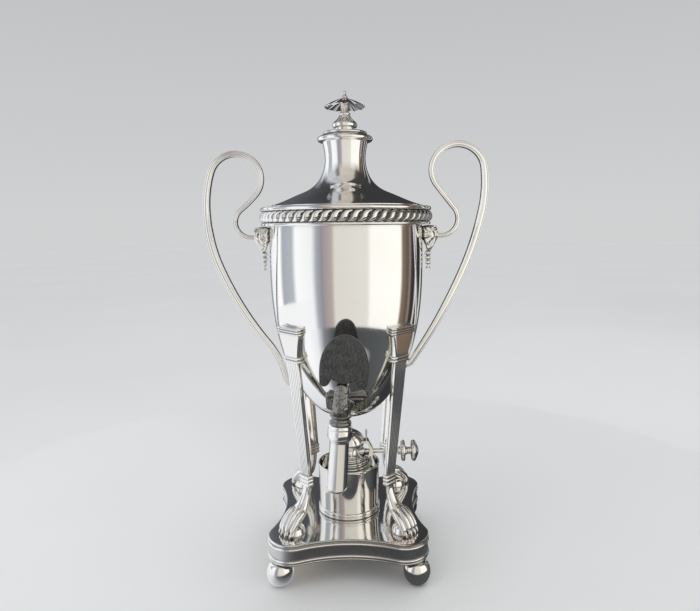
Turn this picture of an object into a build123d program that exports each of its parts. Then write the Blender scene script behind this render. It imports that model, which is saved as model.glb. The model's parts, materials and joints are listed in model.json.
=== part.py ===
"""Antique tea urn on four paw legs, with a tap, a spirit lamp and a lift-off lid.

Millimetres, +Z up. The origin is on the table, on the bowl's own axis. The tap faces -Y and
the lamp's wick key points along +X.
"""
import os
from math import atan2, cos, degrees, hypot, pi, radians, sin, sqrt

from build123d import *

# Plinth: a square with four round lobes and concave sides, on ball feet
lobe_offset = 50.7
lobe_radius = 21.5
side_half = 62.5
plinth_bottom = 21.5
plinth_top = 40.0
plinth_wall = 1.6
plinth_lip = 0.9
plinth_lip_round = 0.7
bead_height = 2.2
bead_depth = 1.1
bead_taper = 40.0
bead_levels = (23.6, 34.4)
base_plate_thickness = 2.0
base_plate_hole_radius = 48.0
foot_radius = 12.0
foot_offset = 61.2
foot_centre_height = 11.2
foot_collar_radius = 6.8
foot_collar_height = 1.1
foot_stud_radius = 2.4
foot_stud_end = 1.0
nut_width = 8.0
nut_height = 3.0
finial_nut_width = 10.0

# Legs and paws, measured along the diagonals
leg_foot_height = 88.3
leg_foot_radius = 57.0
leg_top_height = 228.0
leg_top_radius = 75.4
leg_thickness = 4.7
leg_foot_width = 11.2
reed_top_width = 15.6
band_height = 6.0
band_bottom = 195.0
band_width = 17.4
capital_height = 7.0
capital_width = 28.4
ridge_count = 3
ridge_proud = 0.9
ridge_share = 0.7
band_ridge_count = 2
leg_root_depth = 10.0
reed_count = 6
reed_depth = 0.9
collar_height = 10.0
collar_width = 11.6
collar_depth = 5.4
collar_ridge = 0.6
toe_count = 4
toe_radius = 3.4
toe_spread = 6.0
toe_root_reach = 5.0
toe_root_gather = 0.5
knuckle_reach = 16.5
knuckle_gather = 0.9
knuckle_height = 53.0
toe_end_reach = 23.5
toe_sink = 2.0
paw_reach = 13.0
pad_half_length = 11.5
pad_half_width = 10.4
pad_height = 8.0
ankle_half_depth = 2.9
ankle_half_width = 4.4
# Ankle below its collar: reach beyond the leg's foot, height, tilt, half depth, half width
ankle_bends = [(-1.4, 70.5, 14.0, 3.5, 4.1), (2.6, 62.0, 36.0, 4.9, 5.8),
               (9.6, 54.2, 62.0, 7.0, 10.0), (17.5, 48.0, 78.0, 7.2, 11.6),
               (22.0, 46.0, 84.0, 5.6, 10.6)]
paw_screw_radius = 2.0
paw_screw_depth = 6.0
paw_screw_head = 3.6

# Bowl, as radius and height of its outside, from the rim down to the pole
bowl_rim_radius = 75.6
bowl_rim_height = 334.5
bowl_wall = 1.6
bowl_profile = [(bowl_rim_radius, 320.0), (71.2, 228.0), (58.2, 182.0), (45.0, 158.0),
                (28.0, 139.8), (14.5, 133.8), (0.0, 132.0)]
tap_station = 3

# Border of the bowl and the moulding above it
fillet_ring_height = 3.0
fillet_ring_radius = 84.0
border_bottom = 320.5
border_core_radius = 82.0
border_radius = 86.0
gadroon_count = 60
gadroon_lean = 40.0
gadroon_groove = 1.9
gadroon_groove_out = 0.67
border_flat = 0.6
moulding_radius = 84.7
moulding_height = 4.0

# Lid
lid_edge_radius = 76.4
lid_edge_height = 1.2
lid_wall = 1.2
lid_seat_width = 4.4
lid_profile = [(69.0, 342.0), (46.9, 351.4), (37.0, 355.9), (28.0, 363.6), (22.3, 374.4),
               (20.3, 388.0), (22.8, 403.6)]
bezel_clearance = 0.5
bezel_wall = 1.2
bezel_depth = 8.0
collar_lower_radius = 26.6
collar_lower_height = 7.0
collar_upper_radius = 21.7
collar_upper_height = 4.0
collar_spigot_height = 3.0
collar_spigot_gap = 1.4
collar_round = 1.6

# Finial, with the turned stem's heights counted from the lid's collar
stud_radius = 3.0
stud_length = 18.0
bell_foot_radius = 11.0
bell_foot_height = 1.4
bell_radius = 12.3
bell_height = 6.5
bell_shoulder_radius = 8.2
bell_shoulder_height = 11.5
bell_neck_radius = 4.2
bell_neck_height = 14.5
stem_ring_radius = 5.6
stem_ring_height = 17.0
stem_radius = 3.8
stem_start = 19.5
stem_height = 30.0
parasol_radius = 20.5
parasol_drop = 8.2
parasol_crown = 2.6
cap_step = 0.2
parasol_flat = 3.5
parasol_wall = 1.3
parasol_bend_radius = 12.3
parasol_bend_drop = 3.44
parasol_rim_slant = 0.4
flute_count = 12
flute_radius = 3.4
flute_depth = 0.5
flute_run = 23.0
scallop_radius = 4.2
scallop_bite = 1.2
parasol_hub_radius = 5.0
tip_stud_radius = 1.6
tip_stud_length = 2.0
tip_ring_radius = 3.2
tip_ring_foot = 2.6
tip_ring_height = 1.0
tip_ball_radius = 1.8
tip_neck_radius = 1.17
tip_height = 7.8

# Tap, in a frame that leans a little to one side as on the real one
tap_lean = 3.75
tap_shift = -5.2
tap_reach = 95.0
tap_height = 146.0
valve_radius = 10.4
valve_shoulder = 9.2
valve_foot_radius = 8.3
valve_top = 8.0
valve_bottom = -6.5
valve_bevel = 2.0
valve_waist = -3.0
spout_radius = 8.5
spout_end = -48.4
spout_chamfer = 2.4
spout_bore_radius = 4.2
plug_top_radius = 6.3
plug_foot_radius = 5.4
plug_hollow_radius = 3.6
plug_hollow_top = 4.6
plug_clearance = 0.04
plug_foot_gap = 0.3
port_radius = 2.8
port_level = 1.0
plug_stem_radius = 3.0
plug_stem_top = 15.0
key_gap = 0.2
shank_collar_radius = 9.3
shank_collar_neck = 7.5
shank_collar_top = 16.2
collar_band = 2.1
# Baluster: radius at each share of its height
baluster_turning = [(5.5, 0.0), (6.7, 0.35), (6.1, 0.6), (6.7, 0.82), (5.3, 1.0)]
shank_top = 39.5
tang_width = 7.0
tang_thickness = 3.0
tang_top = 56.0
wood_half_width = 21.7
wood_half_height = 29.0
wood_centre = 54.0
wood_thickness = 8.0
volute_radius = 3.9
volute_out = 16.9
volute_level = 42.3
scallop_out = 10.5
scallop_top = 45.6
wood_cheek = 5.6
wood_cheek_level = 41.3
wood_point_level = 39.9
key_pin_radius = 1.0
key_pin_level = 49.0
key_pin_proud = 0.3
pipe_radius = 5.6
pipe_bore_radius = 2.9
pipe_root = 8.2
pipe_drill_run = 19.0
boss_width = 39.0
boss_height = 20.0
boss_thickness = 1.6
boss_step_width = 32.0
boss_step_height = 14.6
boss_step = 2.2
boss_ring_radius = 8.2
boss_ring = 2.0
boss_root = 6.0
boss_corner = 4.0
boss_step_corner = 2.9

# Handles: a reeded strap along tangent arcs, as radius and turn in degrees
strap_width = 7.0
strap_depth = 6.4
strap_bead = 3.2
strap_groove = 0.8
strap_groove_depth = 0.7
handle_seat = 3.6
handle_start_height = 309.4
handle_root_length = 6.0
right_bends = [(17.0, 128.0), (800.0, -2.1), (23.6, -33.9), (26.4, -175.7), (134.0, -20.5),
               (319.0, -11.6), (600.0, -9.4), (7.0, -48.0)]
left_bends = [(15.6, 140.9), (111.0, -10.7), (24.3, -33.7), (25.7, -170.4), (126.0, -18.2),
              (149.0, -22.0), (317.0, -16.1), (82.0, 26.4), (12.0, -70.0)]
handle_sink = 6.0
socket_radius = 5.6
socket_height = 2.4

# Handle mounts: scrolled leaf under the border, with a husk drop below
mount_half_width = 7.0
mount_proud = 6.6
mount_sink = 3.0
mount_back_foot = 306.5
mount_back_top = 318.6
# Front of the leaf: how far inside its reach, and height
mount_front = [(8.0, 319.6), (1.2, 315.1), (1.2, 307.1), (5.6, 300.0), (8.0, 295.0)]
mount_foot_width = 5.6
mount_notch_inset = 13.0
mount_notch_height = 305.0
mount_eye_inset = 6.6
mount_eye_level = 312.0
mount_eye_radius = 3.6
mount_eye_proud = 1.2
husk_inset = 11.0
husk_radii = (2.7, 2.4, 2.1)
husk_neck = 1.1
husk_pitch = 4.6
husk_bell_radius = 2.6
husk_bell_height = 4.2

# Spirit lamp
cup_radius = 30.0
cup_foot_radius = 28.8
cup_rim_height = 84.6
cup_wall = 1.2
cup_rim_bead = 1.0
foot_groove = 0.7
cup_floor_height = 44.0
foot_ring_radius = 30.2
foot_ring_wall = 3.0
reservoir_radius = 26.5
reservoir_wall = 0.8
reservoir_top = 72.0
filler_radius = 7.0
tube_wall = 1.0
tube_bottom = 48.0
tube_top = 87.5
tube_flange_radius = 10.5
tube_flange = 1.2
step_radii = (21.0, 19.0, 17.0)
step_heights = (84.6, 88.2, 91.7)
cover_wall = 1.4
cover_hole_radius = 9.0
neck_foot_radius = 15.4
neck_curve_radius = 12.0
neck_curve_lift = 2.4
neck_waist_radius = 9.8
neck_waist_lift = 4.3
neck_top_radius = 10.8
neck_foot_width = 2.8
seat_radius = 15.0
seat_lift = 2.2
seat_thickness = 3.0
neck_wall = 1.2
wick_radius = 3.2
wick_bottom = 50.0
wick_proud = 1.4
wick_trim = 1.3
carrier_wall = 0.6
carrier_clearance = 0.08
carrier_bottom = 80.0
pinion_radius = 2.0
tooth_count = 8
tooth_height = 0.35
tooth_root = 0.4
tooth_foot = 0.78
tooth_tip = 0.34
rack_tooth_root = 0.95
rack_tooth_tip = 0.49
tooth_overlap = 0.4
backlash = 0.05
rack_inner = 3.4
rack_outer = 6.4
rack_back = 1.2
rack_line = 0.45
rack_gap = 0.4
pocket_depth = 2.2
rack_below = 4.6
rack_above = 3.6
gear_inner = 4.4
journal_radius = 1.2
rod_radius = 2.1
rod_lift = 3.9
rod_clearance = 0.05
rod_shoulder = 8.0
bearing_radius = 3.4
bearing_start = 9.0
bearing_end = 15.6
journal_end = 0.2
knob_start = 49.0
knob_hub_length = 3.3
knob_hub_wall = 1.6
knob_disc_radius = 10.0
knob_disc_width = 3.7
knob_disc_round = 0.6
knob_waist_length = 6.5
knob_waist_radius = 4.6
knob_waist_neck = 3.2
knob_rim_width = 3.6
knob_dome = 3.4
knob_dome_radius = 6.2
knob_dome_step = 2.2
snuffer_radius = 16.0
snuffer_gap = 0.4
snuffer_height = 13.0
# Dome: shares of its radius and of its height that its middle point has
dome_out = 0.78
dome_up = 0.62
snuffer_wall = 1.0
snuffer_pivot_x = 21.5
snuffer_pivot_drop = 0.7
snuffer_pin_radius = 0.9
snuffer_pin_clearance = 0.05
pin_proud = 0.5
lug_half_width = 3.4
lug_height = 4.4
lug_lowering = 0.3
lug_root = 1.0
cheek_gap = 0.35
cheek_thickness = 1.1
cheek_height = 7.0
cheek_flare = 0.4
cheek_inset = 0.6
bridge_gap = 0.4
bridge_thickness = 2.6
bridge_reach = 19.5
bridge_length = 5.0
bridge_shoulder = 0.8
bridge_bevel = 1.8
lever_x = 17.6
lever_radius = 0.9
lever_ball = 1.2
lever_drop = 1.0

os.makedirs("parts", exist_ok=True)


def finish(part, name):
    """Label a finished piece and write it."""
    part.label = name
    export_step(part, f"parts/{name}.step")


def inset(points, wall):
    """Stations of a wall's inner side: each point moved square to its neighbours' chord."""
    moved = []
    for index, (radius, height) in enumerate(points):
        before = points[max(index - 1, 0)]
        after = points[min(index + 1, len(points) - 1)]
        run = after[0] - before[0]
        rise = after[1] - before[1]
        length = hypot(run, rise)
        moved.append((max(radius + wall * rise / length, 0.0), height - wall * run / length))
    return moved


def plinth_outline(grow):
    """The plinth's outline, moved outward by grow."""
    reach = side_half - lobe_offset
    side_radius = (lobe_offset**2 + reach**2 - lobe_radius**2) / (2 * (lobe_radius - reach))
    lobe = Vector(lobe_offset, -lobe_offset)
    to_side = (Vector(0, -side_half - side_radius) - lobe).normalized()
    right = lobe + to_side * (lobe_radius + grow)
    left = Vector(-right.X, right.Y)
    middle = Vector(0, -side_half - grow)
    corner = lobe + Vector(1, -1).normalized() * (lobe_radius + grow)
    after = Vector(-right.Y, -right.X)
    with BuildSketch() as outline:
        with BuildLine():
            for turn in range(0, 360, 90):
                points = [p.rotate(Axis.Z, turn) for p in (left, middle, right, corner, after)]
                ThreePointArc(*points[:3])
                ThreePointArc(*points[2:])
        make_face()
    return outline.sketch


# Filled form of the bowl, which everything soldered on the bowl is cut by
with BuildPart() as bowl_form:
    with BuildSketch(Plane.XZ):
        with BuildLine():
            Line((0, bowl_rim_height), (bowl_rim_radius, bowl_rim_height))
            Line((bowl_rim_radius, bowl_rim_height), bowl_profile[0])
            Spline(*bowl_profile, tangents=((0, -1), (-1, 0)))
            Line(bowl_profile[-1], (0, bowl_rim_height))
        make_face()
    revolve(axis=Axis.Z)

# Tap frame: the key's axis leans, and the pipe runs from the valve to the bowl's station
tap_centre = Vector(tap_shift, -tap_reach, tap_height)
key_up = Vector(sin(radians(tap_lean)), 0, cos(radians(tap_lean)))
boss_point = Vector(0, -bowl_profile[tap_station][0], bowl_profile[tap_station][1])
pipe_run = boss_point - tap_centre
pipe_direction = pipe_run.normalized()
tap_back = (pipe_direction - key_up * pipe_direction.dot(key_up)).normalized()
tap_side = tap_back.cross(key_up)
tap_level = Plane(origin=tap_centre, x_dir=tap_side, z_dir=key_up)
tap_front = Plane(origin=tap_centre, x_dir=tap_side, z_dir=-tap_back)
key_axis = Axis(tap_centre, key_up)
pipe_plane = Plane(origin=tap_centre, x_dir=tap_side, z_dir=pipe_direction)
above_tap = bowl_profile[tap_station - 1]
below_tap = bowl_profile[tap_station + 1]
boss_normal = Vector(0, above_tap[1] - below_tap[1], above_tap[0] - below_tap[0])
boss_plane = Plane(origin=boss_point, x_dir=(1, 0, 0),
                   z_dir=Vector(0, -boss_normal.Y, -boss_normal.Z))

# Plinth shell, with the holes of the paw screws
paw_pad_radius = leg_foot_radius + paw_reach
with BuildPart() as plinth:
    with BuildSketch(Plane.XY.offset(plinth_bottom)):
        add(plinth_outline(0))
    extrude(amount=plinth_top - plinth_bottom)
    with BuildSketch(Plane.XY.offset(plinth_top - plinth_wall)):
        add(plinth_outline(plinth_lip))
    extrude(amount=plinth_wall)
    fillet(plinth.edges().group_by(Axis.Z)[-1], plinth_lip_round)
    with BuildSketch(Plane.XY.offset(plinth_bottom)):
        add(plinth_outline(-plinth_wall))
    extrude(amount=plinth_top - plinth_wall - plinth_bottom, mode=Mode.SUBTRACT)
    with BuildSketch(Plane.XY.offset(plinth_top)):
        with PolarLocations(paw_pad_radius, 4, start_angle=45):
            Circle(paw_screw_radius)
    extrude(amount=-plinth_wall, mode=Mode.SUBTRACT)
finish(plinth.part, "plinth")

# Two ridged beads round the plinth's wall
with BuildPart() as plinth_beads:
    for level in bead_levels:
        with BuildSketch(Plane.XY.offset(level + bead_height / 2)):
            add(plinth_outline(bead_depth))
        extrude(amount=bead_height / 2, both=True, taper=bead_taper)
    with BuildSketch(Plane.XY.offset(plinth_bottom)):
        add(plinth_outline(0))
    extrude(amount=plinth_top - plinth_bottom, mode=Mode.SUBTRACT)
finish(plinth_beads.part, "plinth_beads")

# Base plate that closes the plinth's edge below and carries the ball feet
foot_corners = [(x, y) for x in (-foot_offset, foot_offset) for y in (-foot_offset, foot_offset)]
base_plate_top = plinth_bottom + base_plate_thickness
with BuildPart() as base_plate:
    with BuildSketch(Plane.XY.offset(plinth_bottom)):
        add(plinth_outline(-plinth_wall))
        Circle(base_plate_hole_radius, mode=Mode.SUBTRACT)
        with Locations(*foot_corners):
            Circle(foot_stud_radius, mode=Mode.SUBTRACT)
    extrude(amount=base_plate_thickness)
finish(base_plate.part, "base_plate")

# Four ball feet, each one turned piece with a collar and a stud
stud_end = base_plate_top + nut_height + foot_stud_end
foot_flat_radius = sqrt(foot_radius**2 - foot_centre_height**2)
foot_shoulder = plinth_bottom - foot_collar_height
foot_shoulder_radius = sqrt(foot_radius**2 - (foot_shoulder - foot_centre_height) ** 2)
with BuildPart() as ball_foot:
    with BuildSketch(Plane.XZ):
        with BuildLine():
            ThreePointArc((foot_flat_radius, 0), (foot_radius, foot_centre_height),
                          (foot_shoulder_radius, foot_shoulder))
            Polyline((foot_shoulder_radius, foot_shoulder), (foot_collar_radius, foot_shoulder),
                     (foot_collar_radius, plinth_bottom), (foot_stud_radius, plinth_bottom),
                     (foot_stud_radius, stud_end), (0, stud_end), (0, 0), (foot_flat_radius, 0))
        make_face()
    revolve(axis=Axis.Z)
with BuildPart() as ball_feet:
    with Locations(*foot_corners):
        add(ball_foot.part)
finish(ball_feet.part, "ball_feet")

with BuildPart() as foot_nuts:
    with BuildSketch(Plane.XY.offset(base_plate_top)):
        with Locations(*foot_corners):
            RegularPolygon(nut_width / 2, 6, major_radius=False)
            Circle(foot_stud_radius, mode=Mode.SUBTRACT)
    extrude(amount=nut_height)
finish(foot_nuts.part, "foot_nuts")

# Legs: made once along +X, then turned to the four corners
corners = {"front_left": 225, "front_right": 315, "back_right": 45, "back_left": 135}
panel_bottom = band_bottom + band_height
capital_bottom = leg_top_height - capital_height
leg_lean = (leg_top_radius - leg_foot_radius) / (leg_top_height - leg_foot_height)


def leg_face(height):
    """Radius of a leg's outer face at a height."""
    return leg_foot_radius + leg_lean * (height - leg_foot_height)


def leg_section(height, width, depth, proud=0.0):
    """A rectangle across the leg, its outer side on the face or a little proud of it."""
    with BuildSketch(Plane.XY.offset(height)) as section:
        with Locations((leg_face(height) + proud - depth / 2, 0)):
            Rectangle(depth, width)
    return section.sketch


def groove_section(height, width, groove):
    """A triangle that cuts the hollow between two reeds."""
    pitch = width / reed_count
    across = groove * pitch - width / 2
    with BuildSketch(Plane.XY.offset(height)) as section:
        Polygon((leg_face(height) - reed_depth, across),
                (leg_face(height) + reed_depth, across - pitch * 0.5),
                (leg_face(height) + reed_depth, across + pitch * 0.5), align=None)
    return section.sketch


with BuildPart() as leg:
    loft([leg_section(leg_foot_height, leg_foot_width, leg_thickness),
          leg_section(band_bottom, reed_top_width, leg_thickness)], ruled=True)
    for groove in range(1, reed_count):
        loft([groove_section(leg_foot_height, leg_foot_width, groove),
              groove_section(band_bottom, reed_top_width, groove)], ruled=True, mode=Mode.SUBTRACT)
    loft([leg_section(panel_bottom, band_width, leg_root_depth),
          leg_section(capital_bottom, capital_width, leg_root_depth)], ruled=True)
    for bottom, height, width, ridges in (
            (band_bottom, band_height, band_width, band_ridge_count),
            (capital_bottom, capital_height, capital_width, ridge_count)):
        loft([leg_section(bottom, width, leg_root_depth),
              leg_section(bottom + height, width, leg_root_depth)], ruled=True)
        for ridge in range(ridges):
            low = bottom + ridge * height / ridges
            high = low + ridge_share * height / ridges
            loft([leg_section(low, width + ridge_proud, leg_root_depth, ridge_proud),
                  leg_section(high, width + ridge_proud, leg_root_depth, ridge_proud)],
                 ruled=True)
    add(bowl_form.part, mode=Mode.SUBTRACT)
for corner, angle in corners.items():
    finish(leg.part.rotate(Axis.Z, angle), f"leg_{corner}")

# Paws: a triple collar, a curved ankle, a heel pad and four toes
collar_centre = leg_foot_radius - leg_thickness / 2
ankle_top = leg_foot_height - collar_height
ankle = [(-leg_thickness / 2, ankle_top, 0.0, ankle_half_depth, ankle_half_width)] + ankle_bends
with BuildPart() as paw:
    for reach, height, tilt, half_depth, half_width in ankle:
        radius = leg_foot_radius + reach
        along = Vector(sin(radians(tilt)), 0, -cos(radians(tilt)))
        across = Vector(cos(radians(tilt)), 0, sin(radians(tilt)))
        with BuildSketch(Plane(origin=(radius, 0, height), x_dir=across, z_dir=along)):
            Ellipse(half_depth, half_width)
    loft()
    with BuildSketch(Plane.XY.offset(plinth_top)):
        with Locations((paw_pad_radius, 0)):
            Ellipse(pad_half_length, pad_half_width)
    extrude(amount=pad_height)
    for toe in range(toe_count):
        across = (toe - (toe_count - 1) / 2) * toe_spread
        with BuildLine() as toe_line:
            ThreePointArc((leg_foot_radius + toe_root_reach, across * toe_root_gather,
                           knuckle_height),
                          (leg_foot_radius + knuckle_reach, across * knuckle_gather,
                           knuckle_height),
                          (leg_foot_radius + toe_end_reach, across, plinth_top - toe_sink))
        with BuildSketch(Plane(origin=toe_line.line @ 0, z_dir=toe_line.line % 0)):
            Circle(toe_radius)
        sweep(path=toe_line.line)
    split(bisect_by=Plane.XY.offset(plinth_top), keep=Keep.TOP)
    with Locations((collar_centre, 0, ankle_top)):
        Box(collar_depth, collar_width, collar_height, align=(Align.CENTER, Align.CENTER, Align.MIN))
        for ridge in range(ridge_count):
            with Locations((0, 0, (ridge + 0.5 - ridge_share / 2) * collar_height / ridge_count)):
                Box(collar_depth + 2 * collar_ridge, collar_width + 2 * collar_ridge,
                    collar_height / ridge_count * ridge_share,
                    align=(Align.CENTER, Align.CENTER, Align.MIN))
    with Locations((paw_pad_radius, 0, plinth_top)):
        Cylinder(paw_screw_radius, paw_screw_depth, mode=Mode.SUBTRACT,
                 align=(Align.CENTER, Align.CENTER, Align.MIN))
for corner, angle in corners.items():
    finish(paw.part.rotate(Axis.Z, angle), f"paw_{corner}")

with BuildPart() as paw_screws:
    with PolarLocations(paw_pad_radius, 4, start_angle=45):
        with Locations((0, 0, plinth_top - plinth_wall)):
            Cylinder(paw_screw_radius, plinth_wall + paw_screw_depth,
                     align=(Align.CENTER, Align.CENTER, Align.MIN))
            Cylinder(paw_screw_head, plinth_wall,
                     align=(Align.CENTER, Align.CENTER, Align.MAX))
finish(paw_screws.part, "paw_screws")

# Bowl shell, bored for the tap
with BuildPart() as bowl:
    add(bowl_form.part)
    bowl_inside = inset(bowl_profile, bowl_wall)
    bowl_inside[0] = (bowl_rim_radius - bowl_wall, bowl_profile[0][1])
    bowl_inside[-1] = (0.0, bowl_profile[-1][1] + bowl_wall)
    with BuildSketch(Plane.XZ):
        with BuildLine():
            Line((0, bowl_rim_height), (bowl_inside[0][0], bowl_rim_height))
            Line((bowl_inside[0][0], bowl_rim_height), bowl_inside[0])
            Spline(*bowl_inside, tangents=((0, -1), (-1, 0)))
            Line(bowl_inside[-1], (0, bowl_rim_height))
        make_face()
    revolve(axis=Axis.Z, mode=Mode.SUBTRACT)
    with BuildSketch(pipe_plane):
        Circle(pipe_bore_radius)
    extrude(amount=pipe_run.length + pipe_drill_run, mode=Mode.SUBTRACT)
finish(bowl.part, "bowl")

# Core of the border with its fillet, soldered round the bowl
with BuildPart() as rim_band:
    with BuildSketch(Plane.XZ):
        with BuildLine():
            Polyline((bowl_rim_radius, border_bottom), (fillet_ring_radius, border_bottom),
                     (fillet_ring_radius, border_bottom + fillet_ring_height),
                     (border_core_radius, border_bottom + fillet_ring_height),
                     (border_core_radius, bowl_rim_height), (bowl_rim_radius, bowl_rim_height),
                     close=True)
        make_face()
    revolve(axis=Axis.Z)
finish(rim_band.part, "rim_band")

# Gadroon border: a half-round ring cut by slanted hollows into lobes
gadroon_bottom = border_bottom + fillet_ring_height
gadroon_middle = (gadroon_bottom + bowl_rim_height) / 2
with BuildPart() as gadroon_border:
    with BuildSketch(Plane.XZ):
        with BuildLine():
            ThreePointArc((border_core_radius + border_flat, gadroon_bottom),
                          (border_radius, gadroon_middle),
                          (border_core_radius + border_flat, bowl_rim_height))
            Polyline((border_core_radius + border_flat, bowl_rim_height),
                     (border_core_radius, bowl_rim_height), (border_core_radius, gadroon_bottom),
                     (border_core_radius + border_flat, gadroon_bottom))
        make_face()
    revolve(axis=Axis.Z)
    with Locations((0, 0, gadroon_middle)):
        with PolarLocations(border_radius + gadroon_groove_out, gadroon_count):
            Cylinder(gadroon_groove, 3 * (bowl_rim_height - gadroon_bottom),
                     rotation=(-gadroon_lean, 0, 0), mode=Mode.SUBTRACT)
finish(gadroon_border.part, "gadroon_border")

# Rounded moulding above the border, which carries the lid
moulding_top = bowl_rim_height + moulding_height
mouth_radius = bowl_rim_radius - bowl_wall
with BuildPart() as rim_moulding:
    with BuildSketch(Plane.XZ):
        with BuildLine():
            outer_flat = moulding_radius - moulding_height / 2
            ThreePointArc((outer_flat, bowl_rim_height),
                          (moulding_radius, bowl_rim_height + moulding_height / 2),
                          (outer_flat, moulding_top))
            Polyline((outer_flat, moulding_top), (mouth_radius, moulding_top),
                     (mouth_radius, bowl_rim_height), (outer_flat, bowl_rim_height))
        make_face()
    revolve(axis=Axis.Z)
finish(rim_moulding.part, "rim_moulding")


# Handles: a reeded strap swept along tangent arcs
mount_reach = border_radius + mount_proud


def handle_path(bends):
    """Centreline of a handle on the +X side, from its mount into the bowl, and where it enters."""
    heading = Vector(1, 0, 0)
    start = Vector(mount_reach - handle_seat, 0, handle_start_height)
    point = start + heading * handle_root_length
    with BuildLine() as path:
        Line(start, point)
        for radius, turn in bends:
            side = 1 if turn > 0 else -1
            centre = point + heading.rotate(Axis.Y, -90 * side) * radius
            arm = point - centre
            middle = centre + arm.rotate(Axis.Y, -turn / 2)
            end = centre + arm.rotate(Axis.Y, -turn)
            ThreePointArc(point, middle, end)
            heading = heading.rotate(Axis.Y, -turn)
            point = end
        entry = bowl_form.part.find_intersection_points(Axis(point, heading))[0][0]
        outside = max((entry - point).dot(heading), 0.0)
        Line(point, point + heading * (outside + handle_sink))
    return path.line, entry


handles = {}
sockets = {}
for side, bends in (("right", right_bends), ("left", left_bends)):
    path, entry = handle_path(bends)
    socket_start = entry - (path % 1) * socket_height
    with BuildPart() as handle:
        with BuildSketch(Plane(origin=path @ 0, x_dir=(0, 1, 0), z_dir=path % 0)):
            Rectangle(strap_width, strap_depth)
            with GridLocations(strap_width, strap_bead + strap_groove, 2, 2):
                Rectangle(2 * strap_groove_depth, strap_groove, mode=Mode.SUBTRACT)
        sweep(path=path)
        add(bowl_form.part, mode=Mode.SUBTRACT)
    with BuildPart() as socket:
        with BuildSketch(Plane(origin=socket_start, x_dir=(0, 1, 0), z_dir=path % 1)):
            Circle(socket_radius)
        extrude(amount=socket_height + handle_sink)
        add(bowl_form.part, mode=Mode.SUBTRACT)
        add(handle.part, mode=Mode.SUBTRACT)
    handles[side] = handle.part
    sockets[side] = socket.part

# Handle mounts: a scrolled leaf under the border that the handle's upper end is set in
mount_foot = mount_front[-1][1]
leaf_front = [(mount_reach - inset, height) for inset, height in mount_front]
leaf_back = bowl_rim_radius - mount_sink
with BuildPart() as mount_blank:
    with BuildSketch(Plane.XZ):
        with BuildLine():
            Polyline((leaf_back, mount_back_foot), (leaf_back, mount_back_top), leaf_front[0])
            Spline(*leaf_front)
            Polyline(leaf_front[-1], (leaf_front[-1][0] - mount_foot_width, mount_foot),
                     (mount_reach - mount_notch_inset, mount_notch_height),
                     (leaf_back, mount_back_foot))
        make_face()
    extrude(amount=mount_half_width, both=True)
    with BuildSketch(Plane.XZ):
        with Locations((mount_reach - mount_eye_inset, mount_eye_level)):
            Circle(mount_eye_radius)
    extrude(amount=mount_half_width + mount_eye_proud, both=True)
    add(bowl_form.part, mode=Mode.SUBTRACT)

husk_x = mount_reach - husk_inset
with BuildPart() as husks:
    with BuildSketch(Plane.XZ):
        with BuildLine():
            level = mount_foot
            Line((husk_x, level), (husk_x + husk_neck, level))
            for radius in husk_radii:
                ThreePointArc((husk_x + husk_neck, level),
                              (husk_x + radius, level - husk_pitch / 2),
                              (husk_x + husk_neck, level - husk_pitch))
                level -= husk_pitch
            foot = level - husk_bell_height
            Line((husk_x + husk_neck, level),
                 (husk_x + husk_bell_radius, foot))
            Line((husk_x + husk_bell_radius, foot), (husk_x, foot))
            Line((husk_x, foot), (husk_x, mount_foot))
        make_face()
    revolve(axis=Axis((husk_x, 0, 0), (0, 0, 1)))

for side in ("right", "left"):
    with BuildPart() as mount:
        add(mount_blank.part)
        add(handles[side], mode=Mode.SUBTRACT)
    pieces = {"handle": handles[side], "handle_mount": mount.part, "husk_drop": husks.part,
              "handle_socket": sockets[side]}
    for name, piece in pieces.items():
        if side == "left":
            piece = piece.mirror(Plane.YZ)
        finish(piece, f"{name}_{side}")


# Tap: boss on the bowl, pipe, faceted body with its spout, and a hollow plug
def octagon(level, radius):
    """The body's octagon, corner to the front, at a height along the key's axis."""
    with BuildSketch(tap_level.offset(level)) as section:
        RegularPolygon(radius, 8)
    return section.sketch


with BuildPart() as pipe_form:
    with BuildSketch(pipe_plane.offset(pipe_root)):
        Circle(pipe_radius)
    extrude(amount=pipe_run.length - pipe_root - boss_step)

with BuildPart() as tap_boss:
    for width, height, corner, start, end in (
            (boss_width, boss_height, boss_corner, -boss_root, boss_thickness),
            (boss_step_width, boss_step_height, boss_step_corner, 0.0,
             boss_thickness + boss_step)):
        with BuildSketch(boss_plane.offset(start)):
            RectangleRounded(width, height, corner)
        extrude(amount=end - start)
    with BuildSketch(boss_plane):
        Circle(boss_ring_radius)
    extrude(amount=boss_thickness + boss_step + boss_ring)
    add(bowl_form.part, mode=Mode.SUBTRACT)
    add(pipe_form.part, mode=Mode.SUBTRACT)
    with BuildSketch(pipe_plane):
        Circle(pipe_bore_radius)
    extrude(amount=pipe_run.length + pipe_drill_run, mode=Mode.SUBTRACT)
finish(tap_boss.part, "tap_boss")

with BuildPart() as tap_pipe:
    add(pipe_form.part)
    with BuildSketch(pipe_plane):
        Circle(pipe_bore_radius)
    extrude(amount=pipe_run.length, mode=Mode.SUBTRACT)
finish(tap_pipe.part, "tap_pipe")

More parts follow.
